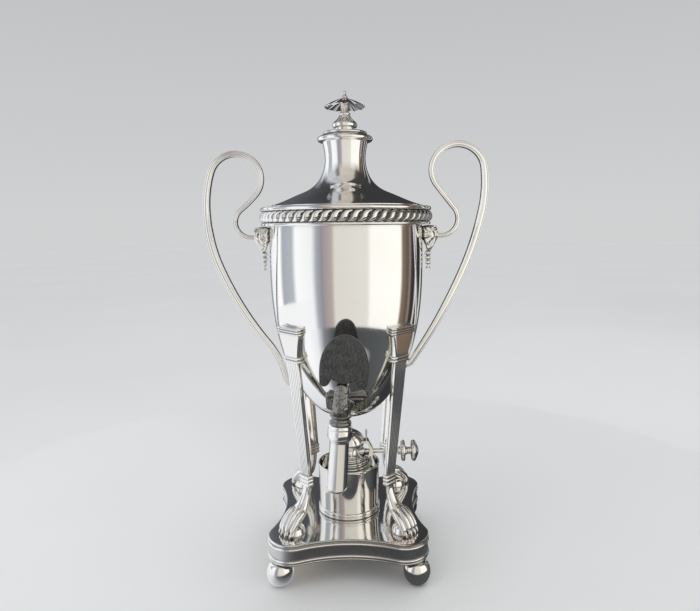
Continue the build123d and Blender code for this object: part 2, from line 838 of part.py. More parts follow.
body_stations = [(valve_top, valve_shoulder), (valve_top - valve_bevel, valve_radius),
                 (valve_waist, valve_radius),
                 (valve_bottom, valve_foot_radius), (spout_end + spout_chamfer, spout_radius),
                 (spout_end, spout_radius - spout_chamfer)]
seat_level = valve_bottom - plug_foot_gap
with BuildPart() as tap_body:
    for upper, lower in zip(body_stations, body_stations[1:]):
        loft([octagon(*upper), octagon(*lower)], ruled=True)
    with BuildSketch(tap_front):
        Polygon((0, valve_top), (plug_top_radius + plug_clearance, valve_top),
                (plug_foot_radius + plug_clearance, seat_level), (spout_bore_radius, seat_level),
                (spout_bore_radius, spout_end), (0, spout_end), align=None)
    revolve(axis=key_axis, mode=Mode.SUBTRACT)
    add(pipe_form.part, mode=Mode.SUBTRACT)
    with BuildSketch(pipe_plane):
        Circle(pipe_bore_radius)
    extrude(amount=pipe_root, mode=Mode.SUBTRACT)
finish(tap_body.part, "tap_body")

with BuildPart() as tap_plug:
    with BuildSketch(tap_front):
        Polygon((0, valve_bottom), (plug_foot_radius, valve_bottom), (plug_top_radius, valve_top),
                (plug_stem_radius, valve_top), (plug_stem_radius, plug_stem_top),
                (0, plug_stem_top), align=None)
    revolve(axis=key_axis)
    with BuildSketch(tap_level.offset(valve_bottom)):
        Circle(plug_hollow_radius)
    extrude(amount=plug_hollow_top - valve_bottom, mode=Mode.SUBTRACT)
    with BuildSketch(Plane(origin=tap_centre + key_up * port_level, x_dir=key_up, z_dir=tap_side)):
        Circle(port_radius)
    extrude(amount=2 * plug_top_radius, mode=Mode.SUBTRACT)
finish(tap_plug.part, "tap_plug")

# Key: a turned shank, a flat tang and the ebonised palmette pinned on it
shank_foot = valve_top + key_gap
baluster_foot = shank_collar_top + collar_band / 2
baluster = [(radius, baluster_foot + share * (shank_top - baluster_foot))
            for radius, share in baluster_turning]
with BuildPart() as key_shank:
    with BuildSketch(tap_front):
        with BuildLine():
            Polyline((plug_stem_radius, plug_stem_top), (plug_stem_radius, shank_foot),
                     (shank_collar_radius, shank_foot),
                     (shank_collar_radius, shank_foot + collar_band),
                     (shank_collar_neck, shank_foot + 2 * collar_band),
                     (shank_collar_neck, shank_collar_top - 1.5 * collar_band),
                     (shank_collar_radius, shank_collar_top - collar_band / 2),
                     (shank_collar_radius, shank_collar_top), baluster[0])
            Spline(*baluster)
            Polyline(baluster[-1], (0, shank_top), (0, plug_stem_top),
                     (plug_stem_radius, plug_stem_top))
        make_face()
    revolve(axis=key_axis)
    with BuildSketch(tap_level.offset(shank_top)):
        Rectangle(tang_width, tang_thickness)
    extrude(amount=tang_top - shank_top)
    with BuildSketch(tap_front):
        with Locations((0, key_pin_level)):
            Circle(key_pin_radius)
    extrude(amount=tang_thickness, both=True, mode=Mode.SUBTRACT)
finish(key_shank.part, "key_shank")

with BuildPart() as key_handle:
    with BuildSketch(tap_front):
        with BuildLine():
            EllipticalCenterArc((0, wood_centre), wood_half_width, wood_half_height,
                                start_angle=0, arc_size=180)
            Line((-wood_half_width, wood_centre), (-volute_out - volute_radius, volute_level))
            Line((-volute_out - volute_radius, volute_level), (-volute_out, volute_level))
            for side in (-1, 1):
                ThreePointArc((side * volute_out, volute_level), (side * scallop_out, scallop_top),
                              (side * wood_cheek, wood_cheek_level))
            ThreePointArc((-wood_cheek, wood_cheek_level), (0, wood_point_level),
                          (wood_cheek, wood_cheek_level))
            Line((volute_out, volute_level), (volute_out + volute_radius, volute_level))
            Line((volute_out + volute_radius, volute_level), (wood_half_width, wood_centre))
        make_face()
        with Locations((-volute_out, volute_level), (volute_out, volute_level)):
            Circle(volute_radius)
    extrude(amount=wood_thickness / 2, both=True)
    with BuildSketch(tap_level.offset(shank_top)):
        Rectangle(tang_width, tang_thickness)
    extrude(amount=tang_top - shank_top, mode=Mode.SUBTRACT)
    with BuildSketch(tap_front):
        with Locations((0, key_pin_level)):
            Circle(key_pin_radius)
    extrude(amount=wood_thickness, both=True, mode=Mode.SUBTRACT)
finish(key_handle.part, "key_handle")

with BuildPart() as key_pin:
    with BuildSketch(tap_front):
        with Locations((0, key_pin_level)):
            Circle(key_pin_radius)
    extrude(amount=wood_thickness / 2 + key_pin_proud, both=True)
finish(key_pin.part, "key_pin")

# Lid: spun shell with a flat seat, a bezel inside the mouth and a stepped collar
lid_outline = [(lid_edge_radius, moulding_top + lid_edge_height)] + lid_profile
lid_inside = inset(lid_outline[::-1], lid_wall)[:-1]
lid_inside[0] = (lid_profile[-1][0] - lid_wall, lid_profile[-1][1])
with BuildPart() as lid_shell:
    with BuildSketch(Plane.XZ):
        with BuildLine():
            Spline(*lid_outline)
            Line(lid_profile[-1], lid_inside[0])
            Spline(*lid_inside)
            Polyline(lid_inside[-1], (lid_edge_radius - lid_seat_width, moulding_top),
                     (lid_edge_radius, moulding_top), lid_outline[0])
        make_face()
    revolve(axis=Axis.Z)
finish(lid_shell.part, "lid_shell")

bezel_radius = mouth_radius - bezel_clearance
with BuildPart() as lid_bezel:
    with Locations((0, 0, moulding_top)):
        Cylinder(bezel_radius, bezel_depth, align=(Align.CENTER, Align.CENTER, Align.MAX))
        Cylinder(bezel_radius - bezel_wall, bezel_depth, mode=Mode.SUBTRACT,
                 align=(Align.CENTER, Align.CENTER, Align.MAX))
finish(lid_bezel.part, "lid_bezel")

lid_top = lid_profile[-1][1]
stem_foot = lid_top + collar_lower_height + collar_upper_height
with BuildPart() as lid_collar:
    with Locations((0, 0, lid_top)):
        Cylinder(collar_lower_radius, collar_lower_height,
                 align=(Align.CENTER, Align.CENTER, Align.MIN))
    fillet(lid_collar.edges().filter_by(GeomType.CIRCLE), collar_round)
    with Locations((0, 0, stem_foot)):
        Cylinder(collar_upper_radius, collar_upper_height,
                 align=(Align.CENTER, Align.CENTER, Align.MAX))
    fillet(lid_collar.edges().group_by(Axis.Z)[-1], collar_round)
    with Locations((0, 0, lid_top)):
        Cylinder(lid_inside[0][0] - collar_spigot_gap, collar_spigot_height,
                 align=(Align.CENTER, Align.CENTER, Align.MAX))
    with Locations((0, 0, lid_top - collar_spigot_height)):
        Cylinder(stud_radius, 2 * (stem_foot - lid_top), mode=Mode.SUBTRACT,
                 align=(Align.CENTER, Align.CENTER, Align.MIN))
finish(lid_collar.part, "lid_collar")

# Finial: turned stem with its studs, fluted parasol, tip and the nut under the lid
hub_height = stem_foot + stem_height
parasol_top = hub_height + parasol_crown
cap_flat = parasol_top - cap_step
tip_stud_top = parasol_top + tip_stud_length
with BuildPart() as finial_stem:
    with BuildSketch(Plane.XZ):
        with BuildLine():
            Polyline((0, stem_foot - stud_length), (stud_radius, stem_foot - stud_length),
                     (stud_radius, stem_foot), (bell_foot_radius, stem_foot),
                     (bell_foot_radius, stem_foot + bell_foot_height))
            Spline((bell_foot_radius, stem_foot + bell_foot_height),
                   (bell_radius, stem_foot + bell_height),
                   (bell_shoulder_radius, stem_foot + bell_shoulder_height),
                   (bell_neck_radius, stem_foot + bell_neck_height))
            ThreePointArc((bell_neck_radius, stem_foot + bell_neck_height),
                          (stem_ring_radius, stem_foot + stem_ring_height),
                          (stem_radius, stem_foot + stem_start))
            Polyline((stem_radius, stem_foot + stem_start), (stem_radius, hub_height),
                     (tip_stud_radius, hub_height), (tip_stud_radius, tip_stud_top),
                     (0, tip_stud_top), (0, stem_foot - stud_length))
        make_face()
    revolve(axis=Axis.Z)
finish(finial_stem.part, "finial_stem")

parasol_rim = parasol_top - parasol_drop
bend_height = parasol_top - parasol_bend_drop
flute_slope = atan2(bend_height - parasol_rim, parasol_radius - parasol_bend_radius)
flute_lift = flute_radius - flute_depth
flute_place = ((parasol_bend_radius + parasol_radius) / 2 + flute_lift * sin(flute_slope), 0,
               (bend_height + parasol_rim) / 2 + flute_lift * cos(flute_slope))
with BuildPart() as finial_parasol:
    with BuildSketch(Plane.XZ):
        with BuildLine():
            Line((tip_stud_radius, cap_flat), (parasol_flat, cap_flat))
            ThreePointArc((parasol_flat, cap_flat), (parasol_bend_radius, bend_height),
                          (parasol_radius, parasol_rim))
            Line((parasol_radius, parasol_rim),
                 (parasol_radius - 2 * parasol_rim_slant, parasol_rim - parasol_rim_slant))
            ThreePointArc((parasol_radius - 2 * parasol_rim_slant,
                           parasol_rim - parasol_rim_slant),
                          (parasol_bend_radius - parasol_wall / 2, bend_height - parasol_wall),
                          (parasol_hub_radius, cap_flat - parasol_wall))
            Polyline((parasol_hub_radius, cap_flat - parasol_wall),
                     (parasol_hub_radius, hub_height), (tip_stud_radius, hub_height),
                     (tip_stud_radius, cap_flat))
        make_face()
    revolve(axis=Axis.Z)
    with PolarLocations(0, flute_count):
        with Locations(flute_place):
            Cylinder(flute_radius, flute_run, mode=Mode.SUBTRACT,
                     rotation=(0, 90 + degrees(flute_slope), 0))
    with Locations((0, 0, parasol_rim)):
        with PolarLocations(parasol_radius + scallop_radius - scallop_bite, flute_count):
            Cylinder(scallop_radius, parasol_drop, mode=Mode.SUBTRACT)
finish(finial_parasol.part, "finial_parasol")

ball_top = parasol_top + tip_height
ball_centre = ball_top - tip_ball_radius
ball_foot = ball_centre - sqrt(tip_ball_radius**2 - tip_neck_radius**2)
with BuildPart() as finial_tip:
    with BuildSketch(Plane.XZ):
        with BuildLine():
            Polyline((tip_stud_radius, cap_flat), (tip_ring_foot, cap_flat),
                     (tip_ring_radius, cap_flat + tip_ring_height),
                     (tip_ring_radius, cap_flat + 2 * tip_ring_height),
                     (tip_neck_radius, ball_foot))
            ThreePointArc((tip_neck_radius, ball_foot), (tip_ball_radius, ball_centre),
                          (0, ball_top))
            Polyline((0, ball_top), (0, tip_stud_top), (tip_stud_radius, tip_stud_top),
                     (tip_stud_radius, cap_flat))
        make_face()
    revolve(axis=Axis.Z)
finish(finial_tip.part, "finial_tip")

nut_top = lid_top - collar_spigot_height
with BuildPart() as finial_nut:
    with BuildSketch(Plane.XY.offset(nut_top)):
        RegularPolygon(finial_nut_width / 2, 6, major_radius=False)
        Circle(stud_radius, mode=Mode.SUBTRACT)
    extrude(amount=-nut_height)
finish(finial_nut.part, "finial_nut")

# Spirit lamp: cup on its foot ring, fuel reservoir, stepped cover and wick tube
cup_floor_top = cup_floor_height + cup_wall
with BuildPart() as lamp_cup:
    with BuildSketch(Plane.XZ):
        Polygon((0, cup_floor_height), (cup_foot_radius, cup_floor_height),
                (cup_radius, cup_rim_height), (cup_radius - cup_wall, cup_rim_height),
                (cup_foot_radius - cup_wall, cup_floor_top), (0, cup_floor_top), align=None)
        Polygon((foot_ring_radius - foot_ring_wall, plinth_top), (foot_ring_radius, plinth_top),
                (foot_ring_radius, cup_floor_top), (cup_foot_radius - cup_wall, cup_floor_top),
                (foot_ring_radius - foot_ring_wall, cup_floor_height), align=None)
        with Locations((cup_radius - cup_wall / 2, cup_rim_height)):
            Circle(cup_rim_bead)
        with Locations((foot_ring_radius, (plinth_top + cup_floor_top) / 2)):
            Circle(foot_groove, mode=Mode.SUBTRACT)
    revolve(axis=Axis.Z)
finish(lamp_cup.part, "lamp_cup")

with BuildPart() as lamp_reservoir:
    with BuildSketch(Plane.XZ):
        Polygon((0, cup_floor_top), (reservoir_radius, cup_floor_top),
                (reservoir_radius, reservoir_top), (filler_radius, reservoir_top),
                (filler_radius, reservoir_top - reservoir_wall),
                (reservoir_radius - reservoir_wall, reservoir_top - reservoir_wall),
                (reservoir_radius - reservoir_wall, cup_floor_top + reservoir_wall),
                (0, cup_floor_top + reservoir_wall), align=None)
    revolve(axis=Axis.Z)
finish(lamp_reservoir.part, "lamp_reservoir")

carrier_radius = wick_radius + carrier_wall
tube_bore = carrier_radius + carrier_clearance
with BuildPart() as wick_tube:
    with BuildSketch(Plane.XZ):
        Polygon((tube_bore, tube_bottom), (tube_bore + tube_wall, tube_bottom),
                (tube_bore + tube_wall, reservoir_top), (tube_flange_radius, reservoir_top),
                (tube_flange_radius, reservoir_top + tube_flange),
                (tube_bore + tube_wall, reservoir_top + tube_flange),
                (tube_bore + tube_wall, tube_top), (tube_bore, tube_top), align=None)
    revolve(axis=Axis.Z)
finish(wick_tube.part, "wick_tube")

with BuildPart() as lamp_cover:
    lower = reservoir_top
    for radius, top in zip(step_radii, step_heights):
        with Locations((0, 0, lower)):
            Cylinder(radius, top - lower, align=(Align.CENTER, Align.CENTER, Align.MIN))
        lower = top
    lower = reservoir_top
    for radius, top in zip(step_radii, step_heights):
        with Locations((0, 0, lower)):
            Cylinder(radius - cover_wall, top - cover_wall - lower, mode=Mode.SUBTRACT,
                     align=(Align.CENTER, Align.CENTER, Align.MIN))
        lower = top - cover_wall
    with Locations((0, 0, reservoir_top)):
        Cylinder(cover_hole_radius, step_heights[-1] - reservoir_top, mode=Mode.SUBTRACT,
                 align=(Align.CENTER, Align.CENTER, Align.MIN))
finish(lamp_cover.part, "lamp_cover")

# Burner neck with the seat of the snuffer, the carrier's guide and the wick key's bearing
cover_top = step_heights[-1]
neck_curve_height = cover_top + neck_curve_lift
neck_waist_height = neck_curve_height + neck_waist_lift
seat_bottom = neck_waist_height + seat_lift
seat_top = seat_bottom + seat_thickness
rod_height = cover_top + rod_lift
rod_side = -pinion_radius
rod_line = Plane(origin=(0, rod_side, rod_height), x_dir=(0, 1, 0), z_dir=(1, 0, 0))
with BuildPart() as lamp_neck:
    with BuildSketch(Plane.XZ):
        with BuildLine():
            Spline((neck_foot_radius, cover_top), (neck_curve_radius, neck_curve_height),
                   (neck_waist_radius, neck_waist_height), tangents=((-1, 0.3), (0, 1)))
            Polyline((neck_waist_radius, neck_waist_height), (neck_top_radius, seat_bottom),
                     (seat_radius, seat_bottom), (seat_radius, seat_top), (tube_bore, seat_top),
                     (tube_bore, seat_bottom), (neck_waist_radius - neck_wall, seat_bottom),
                     (neck_waist_radius - neck_wall, neck_waist_height))
            Spline((neck_waist_radius - neck_wall, neck_waist_height),
                   (neck_curve_radius - neck_wall, neck_curve_height - neck_wall),
                   (neck_foot_radius - neck_foot_width, cover_top))
            Line((neck_foot_radius - neck_foot_width, cover_top), (neck_foot_radius, cover_top))
        make_face()
    revolve(axis=Axis.Z)
    with BuildSketch(rod_line.offset(bearing_start)):
        Circle(bearing_radius)
    extrude(amount=bearing_end - bearing_start)
    with BuildSketch(rod_line.offset(rod_shoulder)):
        Circle(rod_radius + rod_clearance)
    extrude(amount=bearing_end, mode=Mode.SUBTRACT)
    with Locations((rack_inner - rack_gap, -tooth_height - rack_gap, seat_bottom - pocket_depth)):
        Box(rack_outer - rack_inner + 2 * rack_gap, tooth_height + rack_line + rack_back
            + 2 * rack_gap, 2 * pocket_depth, mode=Mode.SUBTRACT, align=Align.MIN)
finish(lamp_neck.part, "lamp_neck")

snuffer_pivot_height = cover_top - snuffer_pivot_drop
lug_plane = Plane.XZ.offset(-rod_side)
lug_top = snuffer_pivot_height + lug_height / 2 - lug_lowering
lug_end = snuffer_pivot_x + lug_height / 2
lug_start = step_radii[-1] - lug_root
with BuildPart() as snuffer_lug:
    with BuildSketch(lug_plane):
        with BuildLine():
            Polyline((snuffer_pivot_x, lug_top), (lug_start, lug_top),
                     (lug_start, snuffer_pivot_height - lug_height / 2),
                     (snuffer_pivot_x, snuffer_pivot_height - lug_height / 2))
            ThreePointArc((snuffer_pivot_x, snuffer_pivot_height - lug_height / 2),
                          (lug_end, (lug_top + snuffer_pivot_height - lug_height / 2) / 2),
                          (snuffer_pivot_x, lug_top))
        make_face()
    extrude(amount=lug_half_width, both=True)
    with BuildSketch(lug_plane):
        with Locations((snuffer_pivot_x, snuffer_pivot_height)):
            Circle(snuffer_pin_radius)
    extrude(amount=lug_half_width, both=True, mode=Mode.SUBTRACT)
    Cylinder(step_radii[-1], cover_top, mode=Mode.SUBTRACT,
             align=(Align.CENTER, Align.CENTER, Align.MIN))
finish(snuffer_lug.part, "snuffer_lug")

with BuildPart() as snuffer_pin:
    with BuildSketch(lug_plane):
        with Locations((snuffer_pivot_x, snuffer_pivot_height)):
            Circle(snuffer_pin_radius)
    extrude(amount=lug_half_width + cheek_gap + cheek_thickness + pin_proud, both=True)
finish(snuffer_pin.part, "snuffer_pin")

# Wick and its carrier with a rack
wick_top = seat_top + wick_proud
carrier_top = seat_top
rack_bottom = rod_height - rack_below
rack_length = rack_below + rack_above
with BuildPart() as wick:
    with Locations((0, 0, wick_bottom)):
        Cylinder(wick_radius, wick_top - wick_bottom,
                 align=(Align.CENTER, Align.CENTER, Align.MIN))
    chamfer(wick.edges().group_by(Axis.Z)[-1], wick_trim)
finish(wick.part, "wick")

tooth_pitch = 2 * pi * pinion_radius / tooth_count
with BuildPart() as wick_carrier:
    with Locations((0, 0, carrier_bottom)):
        Cylinder(carrier_radius, carrier_top - carrier_bottom,
                 align=(Align.CENTER, Align.CENTER, Align.MIN))
    with Locations((rack_inner, rack_line, rack_bottom)):
        Box(rack_outer - rack_inner, rack_back, rack_length, align=Align.MIN)
    with BuildSketch(Plane(origin=(rack_inner, 0, rod_height), x_dir=(0, 1, 0), z_dir=(1, 0, 0))):
        for step in (-2.5, -1.5, -0.5, 0.5, 1.5):
            with Locations((0, step * tooth_pitch)):
                Polygon((rack_line + tooth_overlap, rack_tooth_root / 2),
                        (backlash - tooth_height, rack_tooth_tip / 2),
                        (backlash - tooth_height, -rack_tooth_tip / 2),
                        (rack_line + tooth_overlap, -rack_tooth_root / 2), align=None)
    extrude(amount=rack_outer - rack_inner)
    with Locations((0, 0, carrier_bottom)):
        Cylinder(wick_radius, carrier_top - carrier_bottom, mode=Mode.SUBTRACT,
                 align=(Align.CENTER, Align.CENTER, Align.MIN))
finish(wick_carrier.part, "wick_carrier")

# Wick key: pinion, rod and the two turned discs of its knob
with BuildPart() as wick_pinion:
    with BuildSketch(rod_line.offset(gear_inner)):
        Circle(pinion_radius - tooth_root)
        with PolarLocations(0, tooth_count):
            Polygon((0, tooth_foot / 2), (pinion_radius - tooth_root, tooth_foot / 2),
                    (pinion_radius + tooth_height, tooth_tip / 2),
                    (pinion_radius + tooth_height, -tooth_tip / 2),
                    (pinion_radius - tooth_root, -tooth_foot / 2), (0, -tooth_foot / 2),
                    align=None)
        Circle(journal_radius, mode=Mode.SUBTRACT)
    extrude(amount=rack_outer - gear_inner)
finish(wick_pinion.part, "wick_pinion")

with BuildPart() as wick_rod:
    with BuildSketch(rod_line.offset(rod_shoulder)):
        Circle(rod_radius)
    extrude(amount=knob_start + knob_hub_length - rod_shoulder)
    with BuildSketch(rod_line.offset(gear_inner - journal_end)):
        Circle(journal_radius)
    extrude(amount=rod_shoulder - gear_inner + journal_end)
finish(wick_rod.part, "wick_rod")

knob_profile = Plane(origin=(0, rod_side, rod_height), x_dir=(1, 0, 0), z_dir=(0, -1, 0))
disc_one = knob_start + knob_hub_length
waist_start = disc_one + knob_disc_width
disc_two = waist_start + knob_waist_length
rim_end = disc_two + knob_rim_width
knob_end = rim_end + knob_dome
hub_radius = rod_radius + knob_hub_wall
disc_edge = knob_disc_radius - knob_disc_round
with BuildPart() as wick_knob:
    with BuildSketch(knob_profile):
        with BuildLine():
            Polyline((disc_one, 0), (disc_one, rod_radius), (knob_start, rod_radius),
                     (knob_start, hub_radius), (disc_one, hub_radius), (disc_one, disc_edge),
                     (disc_one + knob_disc_round, knob_disc_radius),
                     (waist_start - knob_disc_round, knob_disc_radius), (waist_start, disc_edge),
                     (waist_start, knob_waist_radius))
            ThreePointArc((waist_start, knob_waist_radius),
                          ((waist_start + disc_two) / 2, knob_waist_neck),
                          (disc_two, knob_waist_radius))
            Polyline((disc_two, knob_waist_radius), (disc_two, disc_edge),
                     (disc_two + knob_disc_round, knob_disc_radius), (rim_end, knob_disc_radius))
            Spline((rim_end, knob_disc_radius), (rim_end + knob_dome_step, knob_dome_radius),
                   (knob_end, 0), tangents=((1, -0.4), (0, -1)))
            Line((knob_end, 0), (disc_one, 0))
        make_face()
    revolve(axis=Axis((0, rod_side, rod_height), (1, 0, 0)))
finish(wick_knob.part, "wick_knob")

# Snuffer: domed cap on an arm with two cheeks, a bridge and a thumb lever
snuffer_rim = seat_top + snuffer_gap
snuffer_top = snuffer_rim + snuffer_height
with BuildPart() as snuffer_cap:
    for wall, mode in ((0, Mode.ADD), (snuffer_wall, Mode.SUBTRACT)):
        with BuildSketch(Plane.XZ):
            with BuildLine():
                Spline((snuffer_radius - wall, snuffer_rim),
                       ((snuffer_radius - wall) * dome_out,
                        snuffer_rim + (snuffer_height - wall) * dome_up),
                       (0, snuffer_top - wall), tangents=((0, 1), (-1, 0)))
                Polyline((0, snuffer_top - wall), (0, snuffer_rim),
                         (snuffer_radius - wall, snuffer_rim))
            make_face()
        revolve(axis=Axis.Z, mode=mode)
finish(snuffer_cap.part, "snuffer_cap")

bridge_bottom = snuffer_rim + bridge_gap
bridge_top = bridge_bottom + bridge_thickness
lever_top = snuffer_top - lever_drop
cheek_inner = lug_half_width + cheek_gap
cheek_outer = cheek_inner + cheek_thickness
with BuildPart() as snuffer_arm:
    with BuildSketch(lug_plane):
        with Locations((snuffer_pivot_x, snuffer_pivot_height)):
            Circle(lug_height / 2)
        with BuildLine():
            Polyline((snuffer_pivot_x + lug_height / 2, snuffer_pivot_height),
                     (snuffer_pivot_x + lug_height / 2 + cheek_flare,
                      snuffer_pivot_height + cheek_height),
                     (bridge_reach + bridge_shoulder, bridge_top - bridge_bevel),
                     (bridge_reach, bridge_top), (bridge_reach - bridge_length, bridge_top),
                     (bridge_reach - bridge_length, bridge_bottom),
                     (bridge_reach - cheek_inset, bridge_bottom),
                     (snuffer_pivot_x - cheek_inset, snuffer_pivot_height + cheek_height),
                     (snuffer_pivot_x - lug_height / 2, snuffer_pivot_height), close=True)
        make_face()
    extrude(amount=cheek_outer, both=True)
    with BuildSketch(lug_plane):
        with Locations((snuffer_pivot_x, (bridge_bottom + snuffer_pivot_height) / 2)):
            Rectangle(4 * lug_height, bridge_bottom - snuffer_pivot_height)
        with Locations((snuffer_pivot_x, snuffer_pivot_height)):
            Rectangle(4 * lug_height, 2 * lug_height)
    extrude(amount=cheek_inner, both=True, mode=Mode.SUBTRACT)
    with BuildSketch(lug_plane):
        with Locations((snuffer_pivot_x, snuffer_pivot_height)):
            Circle(snuffer_pin_radius + snuffer_pin_clearance)
    extrude(amount=cheek_outer, both=True, mode=Mode.SUBTRACT)
    with Locations((lever_x, rod_side, bridge_bottom)):
        Cylinder(lever_radius, lever_top - bridge_bottom,
                 align=(Align.CENTER, Align.CENTER, Align.MIN))
        with Locations((0, 0, lever_top - bridge_bottom)):
            Sphere(lever_ball)
    with BuildSketch(Plane.XZ):
        with BuildLine():
            Spline((snuffer_radius, snuffer_rim),
                   (snuffer_radius * dome_out, snuffer_rim + snuffer_height * dome_up),
                   (0, snuffer_top), tangents=((0, 1), (-1, 0)))
            Polyline((0, snuffer_top), (0, snuffer_rim), (snuffer_radius, snuffer_rim))
        make_face()
    revolve(axis=Axis.Z, mode=Mode.SUBTRACT)
finish(snuffer_arm.part, "snuffer_arm")
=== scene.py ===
"""Antique tea urn: silver plate on four paw legs, with a tap, a spirit lamp and a lift-off lid.

Lengths are millimetres until a mesh is made. The frame is the part's own: the origin is on the
table under the bowl's axis, the tap points towards -Y and the lamp's wick key towards +X.
"""
import json
from math import atan2, cos, degrees, hypot, pi, radians, sin, sqrt, tan, tau

import bmesh
import bpy
import numpy as np
from mathutils import Matrix, Vector, noise


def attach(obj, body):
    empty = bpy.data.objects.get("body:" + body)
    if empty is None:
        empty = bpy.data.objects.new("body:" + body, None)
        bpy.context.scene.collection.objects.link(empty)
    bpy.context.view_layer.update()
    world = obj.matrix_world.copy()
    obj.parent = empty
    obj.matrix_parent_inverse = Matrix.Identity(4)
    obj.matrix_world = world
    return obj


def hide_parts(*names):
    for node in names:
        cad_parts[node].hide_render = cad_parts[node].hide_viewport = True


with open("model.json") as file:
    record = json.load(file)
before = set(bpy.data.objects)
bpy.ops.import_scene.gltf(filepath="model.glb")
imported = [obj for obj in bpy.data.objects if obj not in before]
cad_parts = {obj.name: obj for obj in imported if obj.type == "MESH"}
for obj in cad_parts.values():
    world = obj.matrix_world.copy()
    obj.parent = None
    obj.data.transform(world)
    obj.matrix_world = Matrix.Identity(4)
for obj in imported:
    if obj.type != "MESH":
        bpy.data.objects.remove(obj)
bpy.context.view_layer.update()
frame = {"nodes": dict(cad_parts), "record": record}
record = frame["record"]
body_of = {node: body for body, nodes in record["behaviour"]["bodies"].items() for node in nodes}
scene = bpy.context.scene

MM = 0.001

# Plinth and ball feet
lobe_offset = 50.7
lobe_radius = 21.5
side_half = 62.5
plinth_bottom = 21.5
plinth_top = 40.0
plinth_wall = 1.6
foot_offset = 61.2
foot_radius = 12.0
foot_centre = 11.2

# Legs and paws, along the diagonals
corners = {"front_left": 225, "front_right": 315, "back_right": 45, "back_left": 135}
leg_foot = 88.3
leg_foot_radius = 57.0
leg_lean = (75.4 - leg_foot_radius) / (228.0 - leg_foot)
leg_thickness = 4.7
strap_widths = (11.2, 15.6)
reed_count = 6
reed_depth = 0.42
band_bottom = 195.0
panel_bottom = 201.0
capital_bottom = 221.0
leg_top = 228.0
band_width = 17.4
capital_width = 28.4
ridge_proud = 0.85
collar_middle = 54.65
toe_pitch = 4.9

# Bowl and border
bowl_rim = 334.5
bowl_radius = 75.6
bowl_wall = 1.6
bowl_profile = [(bowl_radius, 320.0), (71.2, 228.0), (58.2, 182.0), (45.0, 158.0),
                (28.0, 139.8), (14.5, 133.8), (0.0, 132.0)]
border_bottom = 320.5
fillet_top = 323.5
gadroon_count = 60
gadroon_lean = 11.0 * tan(radians(40.0))
gadroon_swing = 0.1
gadroon_root = 81.9
gadroon_middle = 82.0
gadroon_depth = 4.0
moulding_top = 338.5

# Lid and finial
lid_edge = 76.4
lid_profile = [(69.0, 342.0), (46.9, 351.4), (37.0, 355.9), (28.0, 363.6), (22.3, 374.4),
               (20.3, 388.0), (22.8, 403.6)]
lid_wall = 1.2
collar_foot = 403.6
collar_step = 409.2
hub_height = 444.6
parasol_top = 447.2
parasol_radius = 20.5
parasol_drop = 8.2
gore_count = 12

# Handles: radius and turn of each bend, on the +X side
handle_start = (89.0, 309.4)
handle_root = 6.0
right_bends = [(17.0, 128.0), (800.0, -2.1), (23.6, -33.9), (26.4, -175.7), (134.0, -20.5),
               (319.0, -11.6), (600.0, -9.4), (7.0, -48.0)]
left_bends = [(15.6, 140.9), (111.0, -10.7), (24.3, -33.7), (25.7, -170.4), (126.0, -18.2),
              (149.0, -22.0), (317.0, -16.1), (82.0, 26.4), (12.0, -70.0)]
# Half depth of the strap at shares of its length
strap_taper = [(0.0, 2.0), (0.06, 2.2), (0.16, 2.5), (0.28, 3.0), (0.42, 3.25), (0.55, 3.8),
               (0.72, 3.5), (1.0, 2.7)]
strap_reach = 3.15
husk_axis = 81.6
husk_top = 294.6

# Tap frame
tap_centre = Vector((-5.2, -95.0, 146.0))
tap_lean = radians(3.75)
boss_point = Vector((0.0, -45.0, 158.0))
# The wooden key's widest level, and how far its middle stands to the side of the shank
leaf_middle = 54.0
leaf_side = 0.6

# Lamp
rod_side = -2.0
rod_height = 95.6


def spline(points, start=None, end=None, steps=10):
    """Points on a twice differentiable curve through the given ones, with free or given ends."""
    given = np.array(points, float)
    gaps = np.linalg.norm(np.diff(given, axis=0), axis=1)
    count = len(given)
    system = np.zeros((count, count))
    right = np.zeros_like(given)
    for i in range(1, count - 1):
        before, after = gaps[i - 1], gaps[i]
        system[i, i - 1:i + 2] = after, 2 * (before + after), before
        right[i] = 3 * (after * (given[i] - given[i - 1]) / before
                        + before * (given[i + 1] - given[i]) / after)
    for row, near, other, tangent in ((0, 0, 1, start), (count - 1, count - 2, count - 1, end)):
        if tangent is None:
            system[row, [row, 1 if row == 0 else count - 2]] = 2, 1
            right[row] = 3 * (given[other] - given[near]) / gaps[near]
        else:
            system[row, row] = 1
            right[row] = tangent
    slopes = np.linalg.solve(system, right)
    curve = [tuple(given[0])]
    for i, gap in enumerate(gaps):
        for step in range(1, steps + 1):
            t = step / steps
            point = ((2 * t**3 - 3 * t**2 + 1) * given[i] + (t**3 - 2 * t**2 + t) * gap * slopes[i]
                     + (3 * t**2 - 2 * t**3) * given[i + 1] + (t**3 - t**2) * gap * slopes[i + 1])
            curve.append(tuple(point))
    return curve


def inset(curve, wall):
    """The curve moved by the wall to its left-hand side, with radii kept from going negative."""
    moved = []
    for i, (radius, height) in enumerate(curve):
        before = curve[max(i - 1, 0)]
        after = curve[min(i + 1, len(curve) - 1)]
        run, rise = after[0] - before[0], after[1] - before[1]
        length = hypot(run, rise)
        moved.append((max(radius + wall * rise / length, 0.0), height - wall * run / length))
    return moved


def arc(centre, radius, start, end, steps=8):
    """Points on an arc, its angles in degrees."""
    angles = [radians(start + (end - start) * i / steps) for i in range(steps + 1)]
    return [(centre[0] + radius * cos(a), centre[1] + radius * sin(a)) for a in angles]


